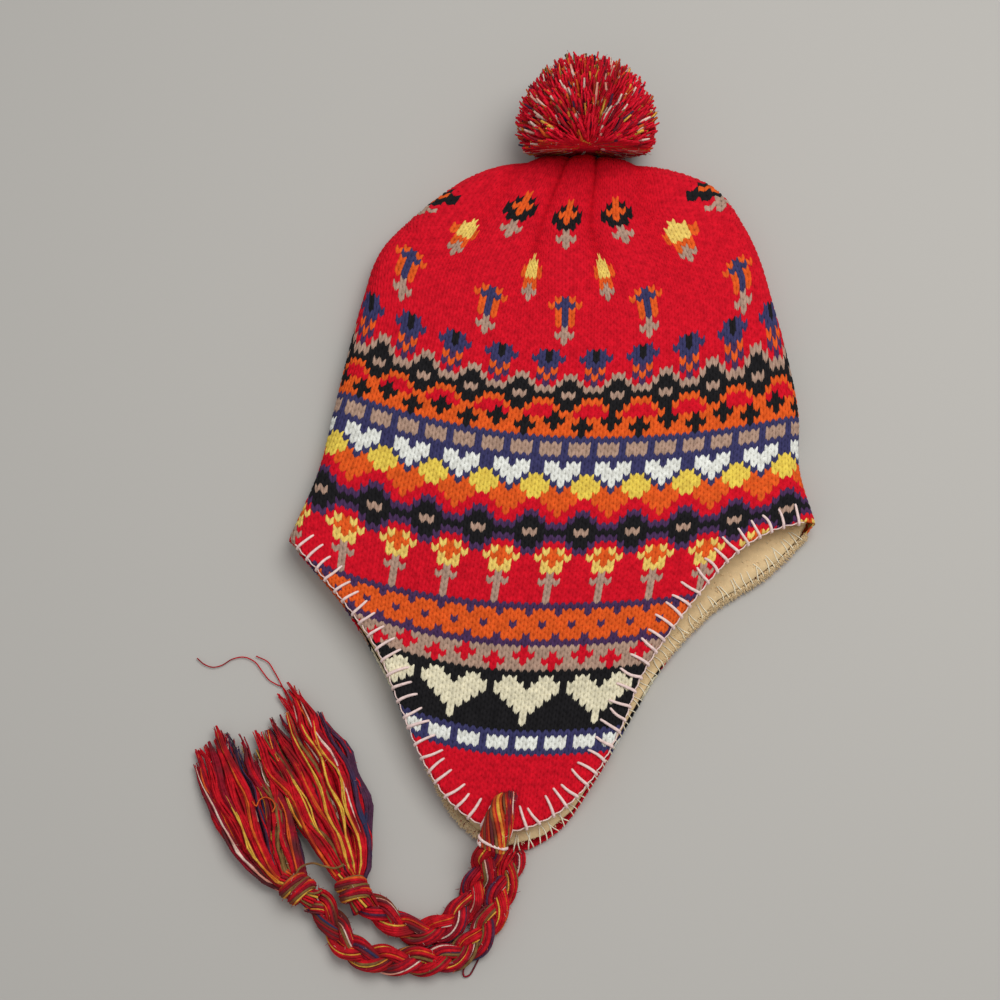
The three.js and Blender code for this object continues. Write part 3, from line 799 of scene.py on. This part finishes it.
def fleece_pile():
    """Short curly fibres of the fleece where it shows at the mouth."""
    rim, outward = fine_rim("lower")
    share = np.linspace(0, 1, FIBRE_POINTS)
    paths = []
    for first, last, count, shallow, deep, lie in PILE:
        inside = np.flatnonzero((rim[:, 0] > first) & (rim[:, 0] < last) & (rim[:, 1] < PILE_BELOW))
        at = rng.choice(inside, count)
        depth = rng.uniform(shallow, deep, count)
        depth = depth + PILE_EDGE * (1 - np.clip((rim[at, 0] - first) / PILE_FADE, 0, 1))
        foot = rim[at] - depth[:, None] * outward[at]
        base = np.interp(depth, *PILE_FOOT) + rng.uniform(*FOOT_RANGE, count)
        lift = np.where(depth < PILE_EDGE, rng.uniform(*RIM_RISE, count), rng.uniform(*BACK_RISE, count))
        way = np.column_stack((lie * rng.uniform(*FIBRE_LEAN, count)[:, None] * outward[at], lift))
        way = way + rng.normal(0, FIBRE_STRAY, way.shape)
        length = rng.uniform(*FIBRE_LENGTH, count)
        curl = rng.normal(0, FIBRE_CURL, (count, FIBRE_POINTS, 3)) * share[:, None]
        along = (length[:, None] * share)[..., None] * way[:, None]
        path = np.column_stack((foot, base))[:, None] + along + curl
        path[..., 2] = np.maximum(path[..., 2], PILE_FLOOR)
        paths.append(path)
    paths = np.vstack(paths)
    strands_object("lining_pile", [(paths, FIBRE_RADII, 0)], [pile_lightened_material], 3)


fleece_lining()
fleece_pile()


# Pompom

FUZZ_RADIUS = 0.1
HAIR_REACH, HAIR_CURL = (1.0, 2.4), 0.35
fuzz_hairs = []
GOLDEN_ANGLE = math.pi * (3 - math.sqrt(5))
STRAND_POINTS = 5
STRAND_ROOM = 0.85  # kept between the strands and what presses on the ball
FLOOR_CUT, CROWN_CUT = -1.0, 11.0  # strands that would end past these are left out
# Angles from the tie from which, and over which, strands come to stand out and to point back
STANDING_FROM, STANDING_OVER = 0.45, 0.6
BEHIND_FROM, BEHIND_OVER = 1.3, 1.1
# A strand's sweep along the ball and its foot's depth: at the tie, added standing, and added behind
SWEEP = (0.7, -0.3, -0.12)
DROP = (0.34, 0.12, 0.08)
DROP_CURVE = 1.3
STRAND_REACH = (0.78, 0.99)  # shares of the ball's radius
DIMPLE, DIMPLE_ANGLE = 0.22, 0.35  # at the tie
POMPOM_SPREAD = {"way": 0.03, "side": 0.2, "place": 0.8, "bend": 0.9, "wobble": 0.2}
STRAND_RADII = (0.6, 1.0)
STRAND_TAPER = ((0, 0.15, 1), (0.7, 1, 0.8))
POMPOM_FUZZ = 1300
CORE_TURNS, CORE_LEVELS = 48, 24
CORE_LUMPS, LUMPS_ROUND, LUMPS_DOWN = 0.05, 9, 7
CORE_ROOM = 1.2
TUFTS = 130
TUFT_SHARE = 0.2  # of the strands that take their tuft's colour
BRIGHT_ANGLE, BRIGHT_SHARE = 0.8, 0.7  # of bright red strands round the tie
# Shares of the colours, in the order of TIE_CODES
YARN_ODDS = (0.12, 0.05, 0.10, 0.045, 0.025, 0.11, 0.012, 0.008, 0.53)


def fuzz(paths, count):
    """Keeps loose fibres that stand off yarns, for one piece of fuzz."""
    strand = rng.integers(0, len(paths), count)
    at = rng.integers(0, paths.shape[1], count)
    way = unit(rng.normal(0, 1, (count, 3)))
    share = np.linspace(0, 1, FIBRE_POINTS)[:, None]
    reach = rng.uniform(*HAIR_REACH, count)[:, None, None]
    hairs = paths[strand, at][:, None] + reach * share * way[:, None]
    hairs = hairs + share * rng.normal(0, HAIR_CURL, (count, FIBRE_POINTS, 3))
    hairs[..., 2] = np.maximum(hairs[..., 2], FUZZ_RADIUS)
    fuzz_hairs.append(hairs)


def pompom():
    """Cut yarns sweeping from the tie over a ball: along it near the tie, standing out behind."""
    tied, radius = POMPOM_TIE, POMPOM_RADIUS
    order = np.arange(POMPOM_STRANDS) + 0.5
    height = 1 - 2 * order / len(order)
    turn = order * GOLDEN_ANGLE
    flat = np.sqrt(1 - height**2)
    ways = np.stack((flat * np.cos(turn), flat * np.sin(turn), height), axis=1)
    ways = unit(ways + rng.normal(0, POMPOM_SPREAD["way"], ways.shape))
    ends = POMPOM_CENTRE + radius * ways
    above = ends[:, 2] > FLOOR_CUT
    ways = ways[above & (ends[:, 1] + CROWN_SLOPE * ends[:, 2] > CROWN_FLAT - CROWN_CUT)]
    strands = len(ways)
    apart = np.arccos(np.clip(ways @ tied, -1, 1))
    side = unit(ways - np.cos(apart)[:, None] * tied)
    side = side + rng.normal(0, POMPOM_SPREAD["side"], side.shape)
    side = unit(side - (side @ tied)[:, None] * tied)
    behind = np.clip((apart - BEHIND_FROM) / BEHIND_OVER, 0, 1)
    behind = behind**2 * (3 - 2 * behind)
    reach = rng.uniform(*STRAND_REACH, strands) * (1 - DIMPLE * np.exp(-(apart / DIMPLE_ANGLE) ** 2))
    standing = np.clip((apart - STANDING_FROM) / STANDING_OVER, 0, 1)
    sweep, drop = (first + more * standing + last * behind for first, more, last in (SWEEP, DROP))
    sweep = np.minimum(apart, sweep)
    back = 1 - np.linspace(0, 1, STRAND_POINTS)
    angle = (apart[:, None] - sweep[:, None] * back)[..., None]
    level = radius * (reach[:, None] - drop[:, None] * back**DROP_CURVE)
    paths = POMPOM_CENTRE + level[..., None] * (np.cos(angle) * tied + np.sin(angle) * side[:, None])
    bend = rng.normal(0, POMPOM_SPREAD["bend"], (strands, 1, 3)) * (back * (1 - back) * 4)[:, None]
    paths = paths + rng.normal(0, POMPOM_SPREAD["place"], (strands, 1, 3)) + bend
    paths = paths + rng.normal(0, POMPOM_SPREAD["wobble"], paths.shape)
    paths = kept_off(paths, STRAND_ROOM)
    radii = rng.uniform(*STRAND_RADII, (strands, 1)) * np.interp(back, *STRAND_TAPER)
    codes = rng.choice(len(TIE_CODES), strands, p=YARN_ODDS)
    codes = np.where(rng.random(strands) < TUFT_SHARE, patch_codes(ways), codes)
    bright = (apart < BRIGHT_ANGLE) & (rng.random(strands) < BRIGHT_SHARE)
    codes = np.where(bright, TIE_CODES.index("B"), codes)
    fuzz(paths[:, -2:], POMPOM_FUZZ)
    strands_object("pompom_yarn", [(paths, radii, codes)], tie_materials, 3, "pompom")


def patch_codes(ways):
    """Colours by place on the ball: tufts of yarn that were wound on together."""
    tufts = unit(rng.normal(size=(TUFTS, 3)))
    colours = rng.choice(len(TIE_CODES), len(tufts), p=YARN_ODDS)
    return colours[np.argmax(ways @ tufts.T, axis=1)]


def kept_off(paths, room):
    """Strands pressed up by the floor and back by the crown."""
    paths = paths.copy()
    paths[..., 2] = np.maximum(paths[..., 2], room)
    short = CROWN_FLAT + room - (paths[..., 1] + CROWN_SLOPE * paths[..., 2])
    paths[..., 1] += np.maximum(short, 0)
    return paths


def pompom_core():
    """The dense middle, lumpy and pressed as the strands are."""
    theta = np.linspace(0, math.tau, CORE_TURNS, endpoint=False)
    phi = np.linspace(0.02, math.pi - 0.02, CORE_LEVELS)[:, None]
    flat = np.sin(phi)
    grid = np.stack((flat * np.cos(theta), flat * np.sin(theta), np.cos(phi) + 0 * theta), axis=2)
    lumps = 1 + (CORE_LUMPS * np.sin(LUMPS_ROUND * theta) * np.sin(LUMPS_DOWN * phi))[..., None]
    places = POMPOM_CENTRE + POMPOM_CORE * POMPOM_RADIUS * grid * lumps
    places = kept_off(places, CORE_ROOM)
    index = np.arange(CORE_TURNS * CORE_LEVELS).reshape(CORE_LEVELS, CORE_TURNS)
    a, b = index[:-1], index[1:]
    faces = np.stack((a, b, np.roll(b, -1, axis=1), np.roll(a, -1, axis=1)), axis=2).reshape(-1, 4)
    mesh_object("pompom_core", places.reshape(-1, 3), faces, [tie_materials[TIE_CODES.index("B")]],
                0, "pompom")


pompom()
pompom_core()


# Ties

PLAIT_LENGTH = 40.0  # one strand's whole way across the plait and back
PLAIT_HALF_WIDTH = 3.6
PLAIT_HALF_HEIGHT = 1.8
STRAND_RADIUS = 3.0
STRAND_FLATNESS = 0.85
YARN_RADIUS = 0.56
END_TAPER = 0.08  # share of a plait's length over which its yarns narrow
YARN_TURN = 70.0  # length of one turn of a strand's yarns
YARN_WAVES, YARN_WAVE_LENGTH = 0.14, (3, 6)
# Unevenness of a strand's yarns: place, distance from its middle, and thickness
YARN_PLACE_SPREAD, YARN_SPREAD, YARN_THICKNESS = 0.15, 0.08, (0.85, 1.15)
THIN_YARNS = "WYO"
THIN_YARN, THICK_YARN = 0.75, 1.25
PLAIT_FUZZ, KNOT_FUZZ, TASSEL_FUZZ = 650, 300, 1000
ROOT_YARNS = "OROGOYROGCORGOROYRCGORCRGO"
ROOT_LENGTH = 24.0  # unplaited yarns where the upper tie comes out of the flap
ROOT_TURN = 2.5
# Share along the unplaited yarns, and half the bundle's width or height there
ROOT_WIDTHS = ((0, 0.06, 0.2, 0.45, 1), (0.8, 2.6, 4.6, 5.8, 6.2))
ROOT_HEIGHTS = ((0, 0.08, 0.22, 1), (-1.0, 2.4, 4.2, 4.8))
TIE_STEP = 1.0
THREAD_STEP = 0.8
# Share along a tie, and how much of its lean it has there
LEAN_SHARES = ((0, 0.15, 0.62, 0.8), (0.4, 1, 1, 0))
UPPER_LEAN, LOWER_LEAN = -0.8, 1.7
KNOT_COIL = 4.8  # radius of the turns that wrap a knot
KNOT_TURN = 5.6 * math.pi
KNOT_HALF_LENGTH = 3.6
KNOT_WEAVE = 1.1  # to and fro of the turns along the knot
COIL_HALF_SIZE = (2.0, 2.2)  # of the bundle that wraps it
COIL_CORE = 1.9
COIL_POINTS = 140
THROUGH_SPAN = (-10, 9)
THROUGH_POINTS = 24
THROUGH_TWIST = 0.06
KNOT_YARNS = "OGRGRCGRYGCR"
THROUGH_YARNS = "RORCRYRRGRPRRORWRC"
# Distance from a knot's middle, and the girth there of the yarns that run through it
THROUGH_GIRTH = ((0, 5, 10), (3.4, 3.8, 4.6))
KNOT_FLOOR = (-1e3, -1e3, 0.75)
# Share along a tassel's yarn, and how loose its clump is, how high it lies and how thick it is there
CLUMP_LOOSENESS = ((0, 0.12, 0.45, 0.85, 1), (0.35, 0.6, 1.0, 0.75, 0.3))
CLUMP_HEIGHT = ((0, 0.12, 0.45, 0.8, 1), (0.6, 0.85, 1.0, 0.7, 0.35))
TASSEL_TAPER = ((0, 0.75, 1), (1, 1, 0.3))
YARN_POINTS = 16
CLUMP_YARNS = 18
CLUMP_LEVELS = (1.5, 9.0)  # heights of the clumps
TASSEL_FLOOR = 1.0
MAIN_SHARE = 0.82  # of a clump's yarns in its main colour
STREAK_THICKNESS, CLUMP_THICKNESS = (0.4, 0.55), (0.5, 0.95)
CLUMP_RADIUS = 2.6
STREAK_YARNS = 2  # of each clump, on top of it
STREAK_RADIUS = 3.0
ODD_YARNS = "RRCRPGC"
STRAY_THREADS = (
    ((-119.0, -138.0), (-122.6, -129.0), (-126.2, -122.5), (-129.7, -120.7), (-133, -118.7),
     (-136.5, -114.4), (-140, -110), (-145.2, -107.6), (-150.8, -108.6), (-155.4, -111.5),
     (-159.6, -112.5), (-163.9, -111), (-167.3, -108.1)),
    ((-119.8, -137.0), (-123.4, -129.0), (-126.4, -122.5), (-128.9, -117.8), (-130.9, -114.4),
     (-133.9, -110), (-139.6, -107.1)),
)
TASSEL_CURL = ((-137, -178), (-135.1, -180.3), (-133.9, -177.6), (-131.2, -176.2), (-128, -177.6),
               (-126.6, -180.3), (-127.8, -183))
LOOSE_LOOP = ((-33, -242.5), (-34.6, -246.5), (-36.6, -250.5), (-38.6, -253.6), (-40.8, -254.2),
              (-41.4, -252), (-39.8, -248.8), (-37, -246))
KNOT_LOOP = ((-104.3, -217.7), (-106.9, -219.1), (-111.3, -218.6), (-114.6, -216), (-116, -212.4),
             (-115.3, -208.9), (-112.6, -206.7), (-108.7, -205.8), (-103.7, -207.1), (-98.3, -208),
             (-94.8, -206.2))
BINDING_HALF_SIZE = (6.5, 5.0)
BINDING_RADIUS, TAIL_RADIUS = 0.75, 0.65
BINDING_TAIL = ((-34.3, -198.1), (-29.4, -199), (-25, -197.7), (-21, -195.5), (-20.1, -190.1),
                (-21, -184.7), (-21.4, -182.1))
# Share along that tail, and its height there
TAIL_HEIGHTS = ((0, 0.3, 0.55, 1), (20.5, 22.0, 16.6, 15.2))


def line_frames(line):
    """Level sideways and upward directions along a route."""
    tangents = unit(np.gradient(line, axis=0))
    sideways = unit(np.cross(tangents, (0.0, 0.0, 1.0)))
    return sideways, np.cross(sideways, tangents)


def offset(line, *moves):
    """A line, or lines, moved by distances along directions."""
    for distance, way in moves:
        line = line + distance[..., None] * way
    return line


def tie_line(route, lean):
    """A tie's centre line, settled, and nudged sideways so that the two ties lie against each other."""
    line = smooth_line(route, TIE_STEP)
    line[:, 2] += BRAID_SETTLE
    sideways, _ = line_frames(line)
    nudge = lean * np.interp(np.linspace(0, 1, len(line)), *LEAN_SHARES)
    return offset(line, (nudge, sideways))


def root_yarns(line):
    """Bright yarns on top of a tie where it comes out of the flap, turning a little as they go."""
    sideways, upwards = line_frames(line)
    share = np.linspace(0, 1, len(line))
    paths = []
    for yarn in range(len(ROOT_YARNS)):
        turn = math.tau * (yarn + rng.normal(0, 0.2)) / len(ROOT_YARNS) - ROOT_TURN * share
        width = np.interp(share, *ROOT_WIDTHS) * rng.uniform(0.92, 1.06)
        height = np.interp(share, *ROOT_HEIGHTS)
        paths.append(offset(line, (width * np.sin(turn), sideways), (height * np.cos(turn), upwards)))
    return np.array(paths), rng.uniform(0.5, 0.9, (len(paths), 1)), tie_numbers(ROOT_YARNS)


def plait(name, line, node, strands, root):
    """Three strands of fine yarns crossing over and under each other; `root` is a first unplaited length."""
    sideways, upwards = line_frames(line)
    distance = np.arange(len(line)) * TIE_STEP
    spread = np.interp(distance, (0, max(root, 1)), (0.5 if root else 0.8, 1.0))
    share = np.linspace(0, 1, len(line))
    ends = 0.5 + 0.5 * np.clip(np.minimum(share, 1 - share) / END_TAPER, 0, 1) ** 0.5
    ring = STRAND_RADIUS - YARN_RADIUS
    groups = []
    for number, codes in enumerate(strands):
        phase = math.tau * (np.maximum(distance - root, 0) / PLAIT_LENGTH + number / 3)
        middle = offset(line, (spread * PLAIT_HALF_WIDTH * np.sin(phase), sideways),
                        (PLAIT_HALF_HEIGHT * np.sin(2 * phase), upwards))
        out, up = line_frames(middle)
        paths = []
        for yarn in range(len(codes)):
            start = (yarn + rng.normal(0, YARN_PLACE_SPREAD)) / len(codes)
            turn = math.tau * (start + distance / YARN_TURN + number / 3)
            waves = np.sin(distance / rng.uniform(*YARN_WAVE_LENGTH) + 7 * rng.random())
            swell = ring * (1 + YARN_WAVES * waves + rng.normal(0, YARN_SPREAD))
            high = STRAND_FLATNESS * swell * np.sin(turn)
            paths.append(offset(middle, (swell * np.cos(turn), out), (high, up)))
        paths = np.array(paths)
        paths[..., 2] = np.maximum(paths[..., 2], 1.5 * YARN_RADIUS)
        thick = np.where(np.isin(list(codes), list(THIN_YARNS)), THIN_YARN, THICK_YARN)[:, None]
        thick = thick * rng.uniform(*YARN_THICKNESS, (len(codes), 1))
        groups.append((paths, YARN_RADIUS * thick * ends, tie_numbers(codes)))
        groups.append((middle[None], STRAND_FLATNESS * ring * ends, tie_numbers("C")))
        fuzz(paths, PLAIT_FUZZ)
    if root:
        groups.append(root_yarns(line[:int(root) + 3]))
    return strands_object(name, groups, tie_materials, 5, node)


def flat_thread(points, height, radius, code):
    """A loose thread lying level at a height."""
    line = smooth_line(points, THREAD_STEP)
    return np.column_stack((line, np.full(len(line), height)))[None], radius, tie_numbers(code)


def knot(name, centre, start, end, node, threads):
    """A tight knot: the tie's yarns run through it and wrap twice round."""
    axis = unit(np.array((*(np.asarray(end) - np.asarray(start)), 0.0)))
    side, up = np.array((axis[1], -axis[0], 0.0)), np.array((0.0, 0.0, 1.0))
    turn = np.linspace(0, KNOT_TURN, COIL_POINTS)
    along = KNOT_HALF_LENGTH * (turn / turn[-1] * 2 - 1) + KNOT_WEAVE * np.sin(0.5 * turn)
    middle = offset(np.array(centre), (along, axis), (KNOT_COIL * np.cos(turn), side),
                    (0.95 * KNOT_COIL * np.sin(turn), up))
    off = middle - centre
    out = unit(off - (off @ axis)[:, None] * axis)
    across = np.cross(unit(np.gradient(middle, axis=0)), out)
    angles = math.tau * np.arange(len(KNOT_YARNS))[:, None] / len(KNOT_YARNS) + 0.5 * turn
    high, wide = COIL_HALF_SIZE
    paths = offset(middle, (high * np.cos(angles), out), (wide * np.sin(angles), across))
    reach = np.linspace(*THROUGH_SPAN, THROUGH_POINTS)
    places = math.tau * np.arange(len(THROUGH_YARNS))[:, None] / len(THROUGH_YARNS)
    round_about = places + THROUGH_TWIST * reach
    girth = np.interp(np.abs(reach), *THROUGH_GIRTH)
    barrel = offset(np.array(centre), (reach, axis), (girth * np.cos(round_about), side),
                    (0.9 * girth * np.sin(round_about), up))
    fuzz(paths, KNOT_FUZZ)
    bundles = (
        (paths, 1.25 * YARN_RADIUS, KNOT_YARNS), (middle[None], COIL_CORE, "C"),
        (barrel, YARN_RADIUS, THROUGH_YARNS))
    groups = [(np.maximum(lines, KNOT_FLOOR), radius, tie_numbers(codes)) for lines, radius, codes in bundles]
    return strands_object(name, groups + threads, tie_materials, 5, node)


def clump_line(lock, foot, start):
    """A tassel clump's middle in plan, from the knot out along its lock, swaying a little."""
    bend = 0.5 * (lock[:2] + lock[2:]) + rng.normal(0, 1.2, 2)
    line = smooth_line((start[:2], foot, lock[:2], bend, lock[2:]), TIE_STEP)
    line = line[:max(int(len(line) * rng.uniform(0.9, 1.0)), 8)]
    run = np.arange(len(line))
    sway = np.interp(run, (8, 30), (0, 1)) * rng.uniform(0.6, 1.7)
    sway = sway * np.sin(run / rng.uniform(4, 7) + 7 * rng.random())
    return offset(line, (sway, left_normals(line)))


def tassel(name, size, start, node, clumps, streaks, threads):
    """Loose yarns in soft clumps from the knot out along the tassel's locks."""
    locks = np.array(size["locks"], float)
    share = np.linspace(0, 1, YARN_POINTS)
    loose, height, taper = (
        np.interp(share, *shape) for shape in (CLUMP_LOOSENESS, CLUMP_HEIGHT, TASSEL_TAPER))
    across = unit(locks[-1, :2] - locks[0, :2])
    paths, radii, codes = [], [], []
    for number, main in enumerate(clumps):
        place = (len(locks) - 1) * number / (len(clumps) - 1)
        k = min(int(place), len(locks) - 2)
        lock = locks[k] + (place - k) * (locks[k + 1] - locks[k]) + rng.normal(0, 0.9, 4)
        fan = size["neck"] * (2 * number / (len(clumps) - 1) - 1)
        foot = np.array(size["base"]) + fan * across + rng.normal(0, 1.0, 2)
        line = clump_line(lock, foot, start)
        level = rng.uniform(*CLUMP_LEVELS)
        for yarn in range(CLUMP_YARNS):
            on_top = yarn < STREAK_YARNS
            wanted = share * rng.uniform(0.86, 1.02) * (len(line) - 1)
            plan = np.stack([np.interp(wanted, np.arange(len(line)), line[:, j]) for j in (0, 1)], axis=1)
            angle = rng.normal(1.4, 0.15) if on_top else rng.uniform(0, math.tau)
            off = STREAK_RADIUS if on_top else CLUMP_RADIUS * math.sqrt(rng.random())
            wave = 0.35 * np.sin(math.tau * (share * rng.uniform(2, 5) + rng.random()))
            plan = offset(plan, (off * math.cos(angle) * loose + wave, left_normals(plan)))
            z = (level + off * math.sin(angle) * loose) * height + 1.4
            paths.append(np.column_stack((plan, np.maximum(z, TASSEL_FLOOR))))
            thick = rng.uniform(*(STREAK_THICKNESS if on_top else CLUMP_THICKNESS))
            radii.append(thick * taper)
            if on_top:
                codes.append(streaks[number % len(streaks)])
            else:
                codes.append(main if rng.random() < MAIN_SHARE else ODD_YARNS[rng.integers(len(ODD_YARNS))])
    groups = [(np.array(paths), np.array(radii), tie_numbers(codes))]
    fuzz(np.array(paths), TASSEL_FUZZ)
    return strands_object(name, groups + threads, tie_materials, 4, node)


def tie(which, route, lean, centre, size, strands, root, clumps, streaks, knot_threads, tassel_threads):
    """A tie's plait, knot and tassel."""
    line = tie_line(route, lean)
    braid = plait(which + "_plait", line, "braid_" + which, strands, root)
    ball = knot(which + "_knot", centre, route[-1][:2], size["base"], "knot_" + which, knot_threads)
    ends = tassel(which + "_tassel", size, centre, "tassel_" + which, clumps, streaks, tassel_threads)


def binding():
    """White thread wound round the upper tie where its plait starts, with its tail on the flap."""
    line = tie_line(UPPER_ROUTE, UPPER_LEAN)
    sideways, upwards = line_frames(line)
    at = int(ROOT_LENGTH)
    turn = np.linspace(-0.2 * math.pi, 2.3 * math.pi, 60)
    wobble = 1 + 0.04 * np.sin(2.7 * turn)
    along = np.linspace(-1.6, 1.4, len(turn)) + 0.9 * np.sin(turn)
    wide, high = BINDING_HALF_SIZE
    around = offset(line[at], (along, line[at + 1] - line[at]), (wide * wobble * np.cos(turn), sideways[at]),
                    (high * wobble * np.sin(turn), upwards[at]))[None]
    tail = smooth_line(BINDING_TAIL, THREAD_STEP)
    heights = np.interp(np.linspace(0, 1, len(tail)), *TAIL_HEIGHTS)
    tail = np.column_stack((tail, heights))[None]
    threads = [(around, BINDING_RADIUS, 0), (tail, TAIL_RADIUS, 0)]
    strands_object("tie_binding", threads, [stitch_material], 6)


upper_strays = [flat_thread(points, 1.2, 0.3, "R") for points in STRAY_THREADS]
lower_strays = [flat_thread(TASSEL_CURL, 12.5, 0.35, "O"), flat_thread(LOOSE_LOOP, 1.0, 0.4, "C")]
tie("upper", UPPER_ROUTE, UPPER_LEAN, UPPER_KNOT, UPPER_TASSEL,
    ("RRRRORRWRRRORRYR", "RCRYRGWCRRCRGCRC", "CRRPCRORCCWCRPRC"), ROOT_LENGTH,
    "PPRRRRRCRRRRRRRCRRRGRCRG", "PROWRYORYWOY", [], upper_strays)
tie("lower", LOWER_ROUTE, LOWER_LEAN, LOWER_KNOT, LOWER_TASSEL,
    ("RORRRRGCRORRRYRR", "GCYRCWGRRGYCRORC", "CRCPCRCRCWRCRPGR"), 0.0,
    "CRRRRCRRCPKCPCRGCCRRCPC", "WRORCYROW", [flat_thread(KNOT_LOOP, 11.5, 0.5, "G")], lower_strays)
binding()


def tie_fuzz():
    """Loose fibres on the ties and the pompom, as one piece."""
    hairs = np.vstack(fuzz_hairs)
    codes = rng.choice(list("RRRRCCOW"), len(hairs))
    strands_object("tie_fuzz", [(hairs, FUZZ_RADIUS, tie_numbers(codes))], tie_materials, 3)


tie_fuzz()


# Floor, light and camera

def studio():
    mesh = bpy.data.meshes.new("floor")
    corners = [(FLOOR_HALF_SIZE * x, FLOOR_HALF_SIZE * y, 0) for x, y in ((-1, -1), (1, -1), (1, 1), (-1, 1))]
    mesh.from_pydata(corners, [], [(0, 1, 2, 3)])
    floor = placed("floor", mesh)
    material = bpy.data.materials.new("floor_paper")
    material.use_nodes = True
    set_inputs(material.node_tree, material.node_tree.nodes["Principled BSDF"],
               Base_Color=FLOOR_COLOUR, Roughness=0.85, Specular_IOR_Level=0.2)
    mesh.materials.append(material)

    world = bpy.data.worlds.new("studio")
    bpy.context.scene.world = world
    world.use_nodes = True
    set_inputs(world.node_tree, world.node_tree.nodes["Background"], Color=SKY_COLOUR, Strength=SKY_STRENGTH)

    for name, place, side, power in LAMPS:
        light = bpy.data.lights.new(name, "AREA")
        light.size = side
        light.energy = power
        lamp = placed(name, light)
        lamp.location = place
        lamp.rotation_euler = (-Vector(place)).to_track_quat("-Z", "Y").to_euler()


def photo_camera():
    elevation = math.radians(CAMERA_ELEVATION)
    target = Vector(CAMERA_TARGET) * MM
    place = target + Vector((0, -math.cos(elevation), math.sin(elevation))) * CAMERA_DISTANCE * MM
    data = bpy.data.cameras.new("photo_view")
    data.lens = CAMERA_LENS
    data.sensor_width = SENSOR
    data.sensor_fit = "HORIZONTAL"
    camera = placed("photo_view", data)
    camera.location = place
    camera.rotation_euler = (target - place).to_track_quat("-Z", "Y").to_euler()
    bpy.context.scene.camera = camera


studio()
photo_camera()
bpy.context.scene.view_settings.view_transform = "Standard"
